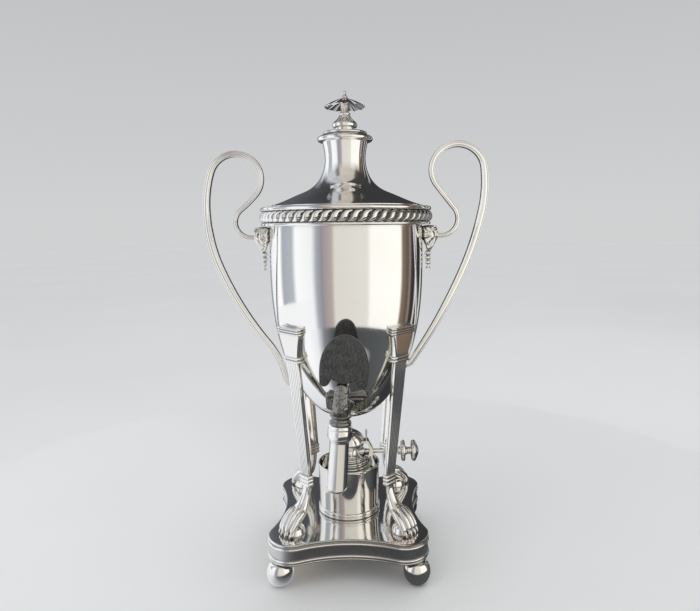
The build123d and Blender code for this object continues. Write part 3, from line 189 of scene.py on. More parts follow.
def soften(points, radius, steps=3, closed=False):
    """The outline with its corners rounded by a small radius."""
    count = len(points)
    rounded = []
    for i, corner in enumerate(points):
        if not closed and i in (0, count - 1):
            rounded.append(tuple(corner))
            continue
        corner = np.array(corner, float)
        before = np.array(points[i - 1], float) - corner
        after = np.array(points[(i + 1) % count], float) - corner
        lengths = np.linalg.norm(before), np.linalg.norm(after)
        if min(lengths) < 1e-6 or np.dot(before, after) < -0.985 * lengths[0] * lengths[1]:
            rounded.append(tuple(corner))
            continue
        cut = min(radius, 0.42 * lengths[0], 0.42 * lengths[1])
        first = corner + before / lengths[0] * cut
        last = corner + after / lengths[1] * cut
        for step in range(steps + 1):
            t = step / steps
            rounded.append(tuple((1 - t)**2 * first + 2 * t * (1 - t) * corner + t**2 * last))
    return rounded


def circle(radius, height, steps):
    """Points on a level circle round the axis."""
    return [(radius * cos(tau * i / steps), radius * sin(tau * i / steps), height)
            for i in range(steps)]


def round_box(half_x, half_y, corner, steps, middle=0.0):
    """The outline of a box with round corners, its middle at an x."""
    return [point for sx, sy, start in ((1, 1, 0), (-1, 1, 90), (-1, -1, 180), (1, -1, 270))
            for point in arc((middle + sx * (half_x - corner), sy * (half_y - corner)), corner,
                             start, start + 90, steps)]


def turned(profile, steps=96):
    """A closed solid turned from a closed outline of radii and heights."""
    verts, faces, rings = [], [], []
    for radius, height in profile:
        if radius < 1e-5:
            rings.append([len(verts)] * steps)
            verts.append((0.0, 0.0, height))
        else:
            rings.append(list(range(len(verts), len(verts) + steps)))
            verts += circle(radius, height, steps)
    for ring, above in zip(rings, rings[1:] + rings[:1]):
        for i in range(steps):
            j = (i + 1) % steps
            face = []
            for corner in (ring[i], ring[j], above[j], above[i]):
                if corner not in face:
                    face.append(corner)
            if len(face) > 2:
                faces.append(face)
    return verts, faces


def skin(rings, looped=False):
    """A solid over rings of as many points each, with flat ends unless it is looped."""
    count = len(rings[0])
    verts = [tuple(point) for ring in rings for point in ring]
    faces = []
    for row in range(len(rings) if looped else len(rings) - 1):
        low, high = row * count, (row + 1) % len(rings) * count
        for i in range(count):
            j = (i + 1) % count
            faces.append([low + i, low + j, high + j, high + i])
    if not looped:
        faces.append(list(range(count)))
        faces.append(list(range(len(verts) - count, len(verts))))
    return verts, faces


def joined(*forms):
    """Several forms as one."""
    verts, faces = [], []
    for more_verts, more_faces in forms:
        shift = len(verts)
        verts += list(more_verts)
        faces += [[i + shift for i in face] for face in more_faces]
    return verts, faces


def placed(form, place):
    """The form moved by a matrix or a function."""
    move = place if callable(place) else (lambda point: place @ point)
    return [tuple(move(Vector(vert))) for vert in form[0]], form[1]


def spin(angle):
    """A turn about the bowl's axis, in degrees."""
    return Matrix.Rotation(radians(angle), 4, "Z")


def mirrored(form):
    """The form on the other side of the YZ plane."""
    return [(-x, y, z) for x, y, z in form[0]], form[1]


def make_piece(name, form):
    """A mesh object in metres, its faces joined and turned outward."""
    mesh = bpy.data.meshes.new(name)
    mesh.from_pydata([[value * MM for value in vert] for vert in form[0]], [], form[1])
    work = bmesh.new()
    work.from_mesh(mesh)
    bmesh.ops.remove_doubles(work, verts=work.verts, dist=2e-6)
    bmesh.ops.dissolve_degenerate(work, edges=work.edges, dist=1e-7)
    bmesh.ops.recalc_face_normals(work, faces=work.faces)
    work.to_mesh(mesh)
    work.free()
    piece = bpy.data.objects.new(name, mesh)
    scene.collection.objects.link(piece)
    return piece


def apply_modifiers(piece):
    """Bakes the modifiers into the mesh."""
    result = bpy.data.meshes.new_from_object(
        piece.evaluated_get(bpy.context.evaluated_depsgraph_get()))
    old = piece.data
    piece.modifiers.clear()
    piece.data = result
    bpy.data.meshes.remove(old)


def fuse(piece, voxel, rounds, factor=0.5):
    """Melts overlapping forms into one skin and smooths it, as in a casting."""
    remesh = piece.modifiers.new("fuse", "REMESH")
    remesh.mode = "VOXEL"
    remesh.voxel_size = voxel * MM
    smooth = piece.modifiers.new("smooth", "SMOOTH")
    smooth.iterations = rounds
    smooth.factor = factor
    apply_modifiers(piece)


def bevel(piece, width, segments=2, angle=28.0):
    """Rounds the hard edges a little."""
    modifier = piece.modifiers.new("bevel", "BEVEL")
    modifier.width = width * MM
    modifier.segments = segments
    modifier.limit_method = "ANGLE"
    modifier.angle_limit = radians(angle)
    apply_modifiers(piece)


def dress(node, piece, material, sharp=38.0):
    """Lets a piece, or a form made into one, stand for a CAD node, on its body, with its material.
    """
    if not isinstance(piece, bpy.types.Object):
        piece = make_piece(f"{node}_look", piece)
    piece.name = f"{node}_look"
    piece.data.materials.clear()
    piece.data.materials.append(material)
    piece.data.shade_smooth()
    piece.data.set_sharp_from_angle(angle=radians(sharp))
    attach(piece, body_of[node])
    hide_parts(node)
    return piece


def keep(node, material):
    """Keeps the CAD node's own shape and gives it a material."""
    target = frame["nodes"][node]
    for slot in target.material_slots:
        slot.material = material
    if not target.material_slots:
        target.data.materials.append(material)


# Materials
class Surface:
    """A node material, or a world, with short ways to add and link its nodes."""

    def __init__(self, name, world=False):
        self.owner = (bpy.data.worlds if world else bpy.data.materials).new(name)
        self.owner.use_nodes = True
        self.tree = self.owner.node_tree
        self.tree.nodes.clear()
        self.output = self.add("OutputWorld" if world else "OutputMaterial")

    def add(self, kind, inputs=(), **settings):
        """A node with settings and with inputs that are values or other nodes' outputs."""
        node = self.tree.nodes.new(f"ShaderNode{kind}")
        for key, value in settings.items():
            setattr(node, key, value)
        for key, value in dict(inputs).items():
            socket = node.inputs[key]
            if isinstance(value, bpy.types.NodeSocket):
                self.tree.links.new(value, socket)
            else:
                socket.default_value = (*value, 1) if socket.type == "RGBA" else value
        return node

    def point(self):
        """The place on the object, in metres."""
        return self.add("TexCoord").outputs["Object"]

    def split(self, vector):
        """A vector's X, Y and Z."""
        return list(self.add("SeparateXYZ", {0: vector}).outputs)

    def noise(self, scale, detail=3.0, roughness=0.55, vector=None, distortion=0.0):
        """Noise with a size of one over scale, in metres."""
        return self.add("TexNoise", {"Scale": scale, "Detail": detail, "Roughness": roughness,
                                     "Distortion": distortion,
                                     "Vector": vector or self.point()}).outputs["Fac"]

    def stretched(self, scales):
        """The place on the object with its axes scaled."""
        return self.add("Mapping", {"Vector": self.point(), "Scale": scales}).outputs["Vector"]

    def ramp(self, value, *stops):
        """A colour or grey by value, as (position, colour) pairs."""
        node = self.add("ValToRGB", {"Fac": value})
        while len(node.color_ramp.elements) < len(stops):
            node.color_ramp.elements.new(0.5)
        for element, (position, colour) in zip(node.color_ramp.elements, stops):
            element.position = position
            element.color = (*colour, 1) if isinstance(colour, tuple) else (colour,) * 3 + (1,)
        return node.outputs["Color"]

    def math(self, operation, first, second=0.0):
        """Arithmetic on two values."""
        return self.add("Math", {0: first, 1: second}, operation=operation).outputs["Value"]

    def plus(self, first, second):
        """The sum of two values."""
        return self.math("ADD", first, second)

    def times(self, first, second):
        """The product of two values."""
        return self.math("MULTIPLY", first, second)

    def apart(self, first, second):
        """The distance between two points."""
        return self.add("VectorMath", {0: first, 1: second},
                        operation="DISTANCE").outputs["Value"]

    def mix(self, share, first, second, blend="MIX"):
        """A blend of two colours, on the sockets that a Mix node keeps for colours."""
        return self.add("Mix", {0: share, 6: first, 7: second}, data_type="RGBA",
                        blend_type=blend).outputs[2]

    def bump(self, height, distance, strength=1.0, below=None):
        """A bump of a height field, its distance in millimetres, over another one."""
        inputs = {"Height": height, "Distance": distance * MM, "Strength": strength}
        if below is not None:
            inputs["Normal"] = below
        return self.add("Bump", inputs).outputs["Normal"]

    def finish(self, kind, inputs):
        """Ends with a shader of this kind and returns the material or the world."""
        shader = self.add(kind, inputs)
        self.tree.links.new(shader.outputs[0], self.output.inputs["Surface"])
        return self.owner


def painted_lobe_shade(s):
    """Painted shade on the border, from 0 to 1: full in the hollow between two lobes and over one
    flank of each lobe.
    """
    x, y, z = s.split(s.point())
    rise = s.math("DIVIDE", s.math("SUBTRACT", z, fillet_top * MM), (bowl_rim - fillet_top) * MM)
    swing = s.times(s.math("SINE", s.times(rise, tau)), gadroon_swing)
    drift = s.times(s.plus(rise, swing), gadroon_lean / gadroon_middle)
    phase = s.times(s.math("SUBTRACT", s.math("ARCTAN2", y, x), drift), gadroon_count / tau)
    phase = s.math("FRACT", s.plus(phase, float(gadroon_count)))
    return s.ramp(phase, (0.0, 1.0), (0.24, 0.9), (0.4, 0.0), (0.9, 0.0), (1.0, 1.0))


def bare_lip(s, spot, reach):
    """Where the copper shows on the plinth's lip, round a worn spot, from 0 to 1."""
    near = s.ramp(s.math("DIVIDE", s.apart(s.point(), spot), reach), (0.4, 1.0), (1.0, 0.0))
    patch = s.times(near, s.ramp(s.noise(160.0, 4.0), (0.42, 0.0), (0.58, 1.0)))
    level = s.math("DIVIDE", s.split(s.point())[2], spot[2] * 2)
    return s.times(patch, s.ramp(level, (0.458, 0.0), (0.468, 1.0), (0.486, 1.0), (0.49, 0.4)))


def silver(name, colour, dark, roughness, hollow_reach, hollow_share, dents, scratches=1.0,
           grain=None, bleed=None, painted_shade=None):
    """Old silver plate: bright where it stands proud, darker in its hollows by ambient occlusion,
    partly real tarnishing and partly painted shade.
    """
    s = Surface(name)
    fine = s.noise(420.0, 3.0, 0.65)
    wiped = s.noise(90.0, 6.0, 0.7, s.stretched((1.0, 1.0, 9.0)))
    # The hollows' darkening: partly real tarnishing, partly painted shade.
    hollow = s.add("AmbientOcclusion", {"Distance": hollow_reach * MM}, samples=8).outputs["AO"]
    depth = s.ramp(hollow, (0.0, 1.0), (0.42, 0.75), (0.78, 0.12), (0.95, 0.0))
    # A given mask adds painted shade, such as on the border's lobes.
    if painted_shade:
        depth = s.math("MAXIMUM", depth, s.times(painted_shade(s), 0.97))
    veil = s.ramp(s.noise(38.0, 4.0, 0.6), (0.35, 0.0), (0.75, 1.0))
    dull = tuple(0.86 * value * share for value, share in zip(colour, (1.0, 0.97, 0.9)))
    shade = s.mix(s.times(depth, hollow_share), s.mix(s.times(veil, 0.16), colour, dull), dark)
    if bleed:
        shade = s.mix(bare_lip(s, *bleed), shade, copper)
    rough = s.plus(s.times(veil, 0.05), roughness)
    rough = s.plus(rough, s.times(s.ramp(fine, (0.5, 0.0), (0.8, 1.0)), 0.04))
    rough = s.plus(rough, s.times(depth, 0.22))
    normal = s.bump(s.noise(16.0, 2.0, 0.5), dents)
    normal = s.bump(wiped, 0.004 * scratches, 1.0, normal)
    if grain:
        normal = s.bump(s.noise(grain[0], 3.0, 0.6), grain[1], 1.0, normal)
    return s.finish("BsdfPrincipled", {"Base Color": shade, "Metallic": 1.0, "Roughness": rough,
                                       "Normal": normal})


def brass(name):
    """Bare turned brass, dulled, with darker spots."""
    s = Surface(name)
    cloud = s.noise(120.0, 5.0, 0.65)
    spots = s.noise(700.0, 3.0, 0.6)
    colour = s.mix(s.ramp(cloud, (0.35, 0.0), (0.7, 1.0)), (0.62, 0.47, 0.24), (0.43, 0.3, 0.15))
    colour = s.mix(s.ramp(spots, (0.62, 0.0), (0.75, 0.6)), colour, (0.2, 0.14, 0.08))
    return s.finish("BsdfPrincipled", {"Base Color": colour, "Metallic": 1.0,
                                       "Roughness": s.plus(s.times(cloud, 0.25), 0.2),
                                       "Normal": s.bump(spots, 0.01)})


def ebony(name):
    """Ebonised wood: nearly black, satin, mottled, with pale flecks along its grain."""
    s = Surface(name)
    along = s.stretched((1.0, 1.0, 0.45))
    grain = s.noise(800.0, 3.0, 0.55, along, 0.4)
    pores = s.noise(1900.0, 2.0, 0.5, along)
    worn = s.noise(150.0, 5.0, 0.7)
    colour = s.mix(s.ramp(grain, (0.38, 0.0), (0.66, 1.0)), (0.018, 0.018, 0.0185),
                   (0.058, 0.057, 0.055))
    colour = s.mix(s.times(s.ramp(worn, (0.5, 0.0), (0.72, 1.0)), 0.45), colour,
                   (0.12, 0.117, 0.112))
    normal = s.bump(s.ramp(pores, (0.4, 0.0), (0.5, 1.0)), 0.03, 0.6, s.bump(grain, 0.07, 0.9))
    return s.finish("BsdfPrincipled", {"Base Color": colour, "Normal": normal,
                                       "Roughness": s.plus(s.times(worn, 0.3), 0.34),
                                       "Specular IOR Level": 0.55})


def cotton(name):
    """Woven cotton, a little scorched at its top."""
    s = Surface(name)
    weave = s.add("TexWave", {"Scale": 900.0, "Distortion": 1.5, "Vector": s.point()},
                  bands_direction="DIAGONAL").outputs["Fac"]
    rise = s.times(s.math("SUBTRACT", s.split(s.point())[2], 0.1005), 220.0)
    colour = s.mix(weave, (0.62, 0.57, 0.46), (0.82, 0.78, 0.68))
    colour = s.mix(s.ramp(rise, (0.1, 0.0), (0.9, 1.0)), colour, (0.06, 0.045, 0.035))
    return s.finish("BsdfPrincipled", {"Base Color": colour, "Roughness": 0.95,
                                       "Normal": s.bump(weave, 0.12)})


# Near black in the hollows of cast and border silver: partly real tarnishing, partly painted shade.
tarnishing_and_shade_black = (0.035, 0.033, 0.03)
copper = (0.6, 0.3, 0.2)
# Where the plinth's lip is worn through, and how far round it, in metres
worn_spot = (0.052, -0.069, 0.0395)
worn_reach = 0.02
plate = silver("silver_plate", (0.88, 0.87, 0.845), (0.16, 0.15, 0.14), 0.05, 4.0, 0.45, 0.09)
polished = silver("silver_bowl", (0.9, 0.89, 0.865), (0.2, 0.19, 0.18), 0.045, 5.0, 0.25, 0.12)
cast = silver("silver_cast", (0.86, 0.85, 0.82), tarnishing_and_shade_black, 0.08, 3.0, 0.97, 0.05, 2.0)
# The border's lobes get painted shade over their hollows and one flank.
fluted = silver("silver_border", (0.9, 0.89, 0.865), tarnishing_and_shade_black, 0.06, 3.0, 0.95, 0.05, 2.0,
                painted_shade=painted_lobe_shade)
reeded = silver("silver_reeded", (0.85, 0.84, 0.81), (0.08, 0.075, 0.07), 0.09, 1.6, 0.9, 0.05)
# Chased silver, its colour darkened to a dull grey: painted dark reflection, on the key's shank and
# the tap's boss.
chased_painted_dark = silver("silver_chased", (0.25, 0.245, 0.23), (0.05, 0.045, 0.04), 0.2, 1.6, 0.9,
                    0.08, 3.0, (520.0, 0.16))
lamp_silver = silver("silver_lamp", (0.83, 0.815, 0.78), (0.13, 0.12, 0.1), 0.08, 3.0, 0.7, 0.08,
                     2.0)
satin_band = silver("silver_satin", (0.6, 0.595, 0.58), (0.06, 0.055, 0.05), 0.26, 2.5, 0.9, 0.08,
                    3.0, (900.0, 0.05))
base_silver = silver("silver_base", (0.86, 0.85, 0.825), (0.14, 0.13, 0.12), 0.06, 4.0, 0.6, 0.12,
                     2.0, bleed=(worn_spot, worn_reach))
strap_silver = silver("silver_strap", (0.95, 0.945, 0.925), (0.1, 0.095, 0.09), 0.06, 1.6,
                      0.15, 0.05)
bare_brass = brass("bare_brass")
wood = ebony("ebonised_wood")
cotton_weave = cotton("wick_cotton")


# Bowl
bowl_outside = spline(bowl_profile, (0, -1), (-1, 0), 14)
bowl_heights = [height for radius, height in bowl_outside][::-1]
bowl_radii = [radius for radius, height in bowl_outside][::-1]


def bowl_at(height):
    """The bowl's outer radius at a height."""
    return float(np.interp(height, bowl_heights, bowl_radii))


def onto_bowl(point, direction, depth):
    """The point moved along a direction until it lies that deep in the bowl's surface."""
    point = Vector(point)
    for _ in range(400):
        if bowl_at(point.z) - hypot(point.x, point.y) > depth and point.z > bowl_heights[0]:
            break
        point = point + direction * 0.1
    return point


def make_bowl():
    """The spun bowl, with its wall."""
    inside = inset(bowl_outside, bowl_wall)
    inside[0] = (bowl_radius - bowl_wall, bowl_profile[0][1])
    inside[-1] = (0.0, bowl_profile[-1][1] + bowl_wall)
    outline = [(bowl_radius, bowl_rim)] + bowl_outside + inside[::-1]
    outline.append((bowl_radius - bowl_wall, bowl_rim))
    dress("bowl", turned(outline, 192), polished)


# Plinth, feet
def plinth_ring(grow):
    """Points round the plinth's outline, moved outward by grow."""
    side_steps, lobe_steps = 20, 28
    reach = side_half - lobe_offset
    side_radius = (lobe_offset**2 + reach**2 - lobe_radius**2) / (2 * (lobe_radius - reach))
    swing = atan2(lobe_offset, side_half + side_radius - lobe_offset)
    points = []
    for turn in range(4):
        quarter = Matrix.Rotation(turn * pi / 2, 2)
        for i in range(side_steps):
            t = -swing + 2 * swing * i / side_steps
            points.append(quarter @ Vector(((side_radius - grow) * sin(t), -side_half - side_radius
                                            + (side_radius - grow) * cos(t))))
        for i in range(lobe_steps):
            t = -pi / 2 - swing + (pi / 2 + 2 * swing) * i / lobe_steps
            points.append(quarter @ Vector((lobe_offset + (lobe_radius + grow) * cos(t),
                                            -lobe_offset + (lobe_radius + grow) * sin(t))))
    return points


def plinth_level(grow, height, share=1.0):
    """The plinth's outline at a height, moved outward by grow and scaled by share."""
    return [(x * share, y * share, height) for x, y in plinth_ring(grow)]


def make_plinth():
    """The pressed plinth: a lip above, a satin wall between two bright beads, hollow below."""
    outer = [(-plinth_wall, plinth_bottom), (0.0, plinth_bottom), (0.0, 37.6), (0.25, 38.1),
             (0.8, 38.5), (0.9, 39.0), (0.78, 39.6), (0.3, 39.93), (-0.5, plinth_top)]
    rings = [plinth_level(*station) for station in outer]
    rings += [plinth_level(-0.5, plinth_top, share) for share in (0.7, 0.4, 0.1)]
    rings += [plinth_level(-plinth_wall, plinth_top - plinth_wall, share)
              for share in (0.1, 0.4, 0.7, 1.0)]
    count = len(rings[0])
    verts, faces = skin(rings, True)
    # The plate is closed in the middle of its top and of its underside
    top = len(outer) + 2
    faces = [face for face in faces if not (min(face) // count == top and max(face) // count
                                            == top + 1)]
    faces += [list(range(row * count, (row + 1) * count)) for row in (top, top + 1)]
    piece = dress("plinth", (verts, faces), base_silver)
    piece.data.materials.append(satin_band)
    for polygon in piece.data.polygons:
        height = polygon.center.z / MM
        if 22.0 < height < 37.0 and abs(polygon.normal.z) < 0.3:
            polygon.material_index = 1
    beads = []
    for level, half, radius, steps in ((24.7, 1.0, 1.08, 10), (35.5, 1.0, 1.08, 10),
                                       (22.4, 0.5, 0.55, 6)):
        profile = [(-0.3, level - half)] + arc((0.0, level), radius, -80, 80, steps)
        profile.append((-0.3, level + half))
        beads.append(skin([plinth_level(*station) for station in profile], True))
    dress("plinth_beads", joined(*beads), plate)


def make_feet():
    """Four turned ball feet with their collars."""
    shoulder = plinth_bottom - 1.1
    flat = sqrt(foot_radius**2 - foot_centre**2)
    low = degrees(atan2(-foot_centre, flat))
    high = degrees(atan2(8.4, sqrt(foot_radius**2 - 8.4**2)))
    ball = arc((0.0, foot_centre), foot_radius, low, high, 26)
    neck = [(7.0, 20.0), (5.9, 20.25), (6.2, 20.6), (6.8, 20.9), (6.8, shoulder + 0.9),
            (6.4, plinth_bottom), (0.0, plinth_bottom)]
    one = turned([(0.0, 0.0)] + ball + neck, 72)
    feet = [placed(one, Matrix.Translation((x, y, 0))) for x in (-foot_offset, foot_offset)
            for y in (-foot_offset, foot_offset)]
    dress("ball_feet", joined(*feet), plate)


# Legs and paws
def leg_face(height):
    """Radius of a leg's outer face at a height."""
    return leg_foot_radius + leg_lean * (height - leg_foot)


def strap_ring(height, width):
    """Section of the reeded strap: rounded reeds outside, flat inside with soft corners."""
    face = leg_face(height)
    ring = []
    for i in range(reed_count * 8 + 1):
        across = i / (reed_count * 8)
        t = 2 * (across * reed_count % 1.0) - 1
        ring.append((face - reed_depth * t**2, (across - 0.5) * width, height))
    back = face - leg_thickness
    half = width / 2
    side = [(face - 1.6, half), (back + 0.8, half), (back + 0.2, half - 0.2), (back, half - 0.8)]
    return ring + [(x, y, height) for x, y in side + [(x, -y) for x, y in side[::-1]]]


def panel_ring(height, width, proud):
    """Section of the panel or of a band: a soft-edged face outside, the bowl's curve inside."""
    face = leg_face(height) + proud
    half = width / 2 + proud
    front = [(face - 0.9, -half), (face - 0.25, -half + 0.12), (face, -half + 0.6)]
    front += [(face, -half + 0.6 + (2 * half - 1.2) * i / 8) for i in range(1, 9)]
    front += [(face - 0.25, half - 0.12), (face - 0.9, half)]
    back = []
    for i in range(9):
        y = half - 2 * half * i / 8
        back.append((sqrt(bowl_at(height)**2 - y * y) - 0.7, y))
    return [(x, y, height) for x, y in front + back]


def ridged(low, high, width, ridges):
    """Stations (height, width, proud) of a band of round ridges."""
    pitch = (high - low) / ridges
    return [(low + pitch * (ridge + 0.04 + 0.92 * i / 8), width,
             ridge_proud * sqrt(max(1 - (i / 4 - 1)**2, 0.0)) - 0.05)
            for ridge in range(ridges) for i in range(9)]


def make_legs():
    """Four legs: reeded strap, banded panel and a ridged capital that hugs the bowl."""
    foot_width, top_width = strap_widths
    strap = skin([strap_ring(leg_foot - 0.4, foot_width)]
                 + [strap_ring(z, foot_width + (top_width - foot_width)
                               * (z - leg_foot) / (band_bottom - leg_foot))
                    for z in np.linspace(leg_foot, band_bottom + 0.5, 80)])
    stations = ridged(band_bottom, panel_bottom, band_width, 2)
    for i in range(1, 10):
        share = i / 10
        flare = band_width + (capital_width - band_width) * share**1.25
        stations.append((panel_bottom + (capital_bottom - panel_bottom) * share, flare, 0.0))
    stations += ridged(capital_bottom, leg_top, capital_width, 3)
    leg = joined(strap, skin([panel_ring(*station) for station in stations]))
    for corner, angle in corners.items():
        dress(f"leg_{corner}", placed(leg, spin(angle)), reeded, 50.0)


def tube(path, radii, steps):
    """A flat-ended tube along points, with a radius at each."""
    rings = []
    for i, (point, radius) in enumerate(zip(path, radii)):
        along = (path[min(i + 1, len(path) - 1)] - path[max(i - 1, 0)]).normalized()
        side = along.cross(Vector((0, 1, 0)) if abs(along.y) < 0.9 else Vector((1, 0, 0)))
        side.normalize()
        up = side.cross(along)
        rings.append([point + side * radius * cos(tau * k / steps)
                      + up * radius * sin(tau * k / steps) for k in range(steps)])
    return skin(rings)


def rounded_tube(path, radii, steps=20):
    """A tube whose path is smoothed and whose ends are half round."""
    fine = [Vector(point) for point in spline(path, steps=8)]
    sizes = list(np.interp(np.linspace(0, len(radii) - 1, len(fine)), range(len(radii)), radii))
    cap = [(sin(radians(angle)), cos(radians(angle))) for angle in (85, 60, 30)]
    start = (fine[0] - fine[1]).normalized()
    end = (fine[-1] - fine[-2]).normalized()
    points = [fine[0] + start * sizes[0] * out for out, share in cap] + fine
    points += [fine[-1] + end * sizes[-1] * out for out, share in cap[::-1]]
    widths = [sizes[0] * share for out, share in cap] + sizes
    widths += [sizes[-1] * share for out, share in cap[::-1]]
    return tube(points, widths, steps)


def ankle_form():
    """The bent ankle and the back of the paw, as ellipses along a curve."""
    # Place (x, z), tilt in degrees, half depth and half width
    stations = [(54.65, 79.0, 0.0, 2.9, 4.3), (54.9, 75.0, 5.0, 3.2, 4.2),
                (55.8, 70.5, 14.0, 3.6, 4.3), (58.2, 64.6, 32.0, 4.4, 5.2),
                (62.4, 58.8, 50.0, 5.4, 7.6), (68.6, 53.6, 66.0, 5.6, 8.8),
                (75.0, 47.6, 80.0, 4.6, 8.8)]
    fine = np.array(spline([station[:2] for station in stations], steps=6))
    shape = np.array([station[2:] for station in stations])
    rings = []
    for (x, z), at in zip(fine, np.linspace(0, len(stations) - 1, len(fine))):
        tilt, depth, half = (np.interp(at, range(len(stations)), shape[:, k]) for k in range(3))
        across = Vector((cos(radians(tilt)), 0, sin(radians(tilt))))
        rings.append([Vector((x, 0, z)) + across * depth * cos(a) + Vector((0, half * sin(a), 0))
                      for a in np.linspace(0, tau, 40, endpoint=False)])
    return skin(rings)


def toe_form(toe):
    """One toe with its claw. The outer toes are shorter."""
    y = (toe - 1.5) * toe_pitch
    outer = 1.0 if abs(toe - 1.5) > 1 else 0.0
    tip = 1.6 * outer
    ridge = [(61.0, y * 0.8, 59.8 - 1.5 * outer), (65.4, y * 0.92, 59.8 - 1.8 * outer),
             (70.8 - 0.6 * outer, y * 0.98, 57.4 - 2 * outer),
             (76.0 - 1.2 * outer, y, 53.0 - 2 * outer), (79.6 - tip, y * 1.02, 47.4 - outer),
             (80.0 - tip, y, 43.0)]
    claw = [(79.6 - tip, y, 45.4), (82.6 - tip, y * 1.01, 43.0), (83.0 - tip, y * 1.01, 41.0)]
    return joined(rounded_tube(ridge, [1.2, 2.3, 2.75, 2.9, 2.65, 2.1]),
                  rounded_tube(claw, [1.5, 1.1, 0.5], 14))


def collar_form(middle):
    """One rounded ridge of the collar, its middle at a height."""
    rings = []
    for t in np.linspace(-1, 1, 9):
        grow = 0.62 * sqrt(1 - t * t)
        box = round_box(2.72 + grow, 5.85 + grow, 1.1, 4, collar_middle)
        rings.append([(x, y, middle + 1.62 * t) for x, y in box])
    return skin(rings)


def make_paws():
    """Four lion paws: a ribbed collar, a bent ankle and toe ridges that end in claws."""
    sole = [[(70.2 + 10.8 * k * cos(a), 9.6 * k * sin(a), z)
             for a in np.linspace(0, tau, 48, endpoint=False)]
            for z, k in ((38.6, 0.97), (40.6, 1.0), (45.0, 0.88), (47.4, 0.6))]
    forms = [ankle_form()] + [toe_form(toe) for toe in range(4)] + [skin(sole)]
    forms += [collar_form(79.9 + ridge * 3.35) for ridge in range(3)]
    model = make_piece("paw_model", joined(*forms))
    fuse(model, 0.28, 2)
    for vert in model.data.vertices:
        vert.co.z = max(vert.co.z, (plinth_top - 0.15) * MM)
    verts = [tuple(vert.co / MM) for vert in model.data.vertices]
    faces = [list(polygon.vertices) for polygon in model.data.polygons]
    bpy.data.objects.remove(model)
    for corner, angle in corners.items():
        dress(f"paw_{corner}", placed((verts, faces), spin(angle)), cast, 60.0)


# Border and rim
def make_border():
    """The gadroon ring, the fillet below it and the moulding above it."""
    rows, lobe_steps = 18, 12
    count = gadroon_count * lobe_steps
    rings = []
    for row in range(rows + 1):
        t = row / rows
        full = max(1 - abs(2 * t - 1)**1.9, 0.0)**0.55
        bend = t + gadroon_swing * sin(tau * t)
        ring = []
        for i in range(count):
            angle = tau * i / count
            phase = (angle - gadroon_lean * bend / gadroon_middle) * gadroon_count / tau % 1.0
            lobe = abs(sin(pi * phase))**0.6
            radius = gadroon_root + gadroon_depth * full * (0.02 + 0.98 * lobe)
            ring.append((radius * cos(angle), radius * sin(angle),
                         fillet_top + (bowl_rim - fillet_top) * t))
        rings.append(ring)
    rings += [circle(gadroon_root - 0.5, z, count) for z in (bowl_rim, fillet_top)]
    dress("gadroon_border", skin(rings, True), fluted, 75.0)
    band = [(bowl_radius - 0.2, border_bottom), (82.6, border_bottom)]
    band += arc((82.5, border_bottom + 1.5), 1.5, -88, 88, 10)
    band += [(gadroon_middle, fillet_top), (gadroon_middle, bowl_rim),
             (bowl_radius - 0.2, bowl_rim)]
    dress("rim_band", turned(band, 192), plate)
    ring = [(74.0, bowl_rim), (82.4, bowl_rim)] + arc((82.65, bowl_rim + 2.0), 2.0, -88, 80, 12)
    ring += [(80.6, 338.35), (79.9, 338.1), (79.2, moulding_top), (74.0, moulding_top)]
    dress("rim_moulding", turned(ring, 192), plate)


# Handles
def handle_line(bends):
    """Centreline on the +X side: points (x, z, heading) from the mount round to the bowl."""
    x, z = handle_start
    heading = 0.0
    line = [(x, z, heading)]
    x += handle_root
    line.append((x, z, heading))
    for radius, turn in bends:
        steps = max(3, round(abs(turn) / 3), round(radius * radians(abs(turn)) / 5))
        half = radians(turn) / steps / 2
        for _ in range(steps):
            x += 2 * radius * sin(abs(half)) * cos(heading + half)
            z += 2 * radius * sin(abs(half)) * sin(heading + half)
            heading += 2 * half
            line.append((x, z, heading))
    while bowl_at(z) - x < 0.8:
        x += 0.4 * cos(heading)
        z += 0.4 * sin(heading)
        line.append((x, z, heading))
    return line


def strap_section():
    """Half of the reeded section: (share of the half depth, half width) from edge to edge."""
    side = []
    for i in range(8):
        u = -1 + 2 * i / 7
        side.append((-0.79 + 0.2 * u, 2.5 + 0.62 * sqrt(max(1 - u * u, 0.0))))
    middle = []
    for i in range(13):
        u = -1 + 2 * i / 12
        middle.append((0.53 * u, 2.55 + 0.93 * sqrt(max(1 - u * u, 0.0))))
    first = [(-1.0, 1.9)] + side
    return first + middle + [(-share, width) for share, width in first[::-1]]


def make_handles():
    """Two looped straps, a thick reed between two thin ones on each face."""
    half = strap_section()
    section = half + [(share, -width) for share, width in half[::-1]]
    for side, bends in (("right", right_bends), ("left", left_bends)):
        line = handle_line(bends)
        run = [0.0]
        for before, after in zip(line, line[1:]):
            run.append(run[-1] + hypot(after[0] - before[0], after[1] - before[1]))
        rings = []
        for (x, z, heading), length in zip(line, run):
            depth = np.interp(length / run[-1], *zip(*strap_taper))
            outer = min(depth, strap_reach)
            ring = []
            for share, width in section:
                # Turning right, the loop's outer side is on the left
                reach = share * (outer if share > 0 else 2 * depth - outer)
                ring.append((x - sin(heading) * reach, width, z + cos(heading) * reach))
            rings.append(ring)
        form = skin(rings)
        tail_x, tail_z, heading = line[-1]
        pad = socket_form(Vector((tail_x, 0, tail_z)), Vector((cos(heading), 0, sin(heading))))
        if side == "left":
            form, pad = mirrored(form), mirrored(pad)
        dress(f"handle_{side}", form, strap_silver, 50.0)
        dress(f"handle_socket_{side}", pad, plate)


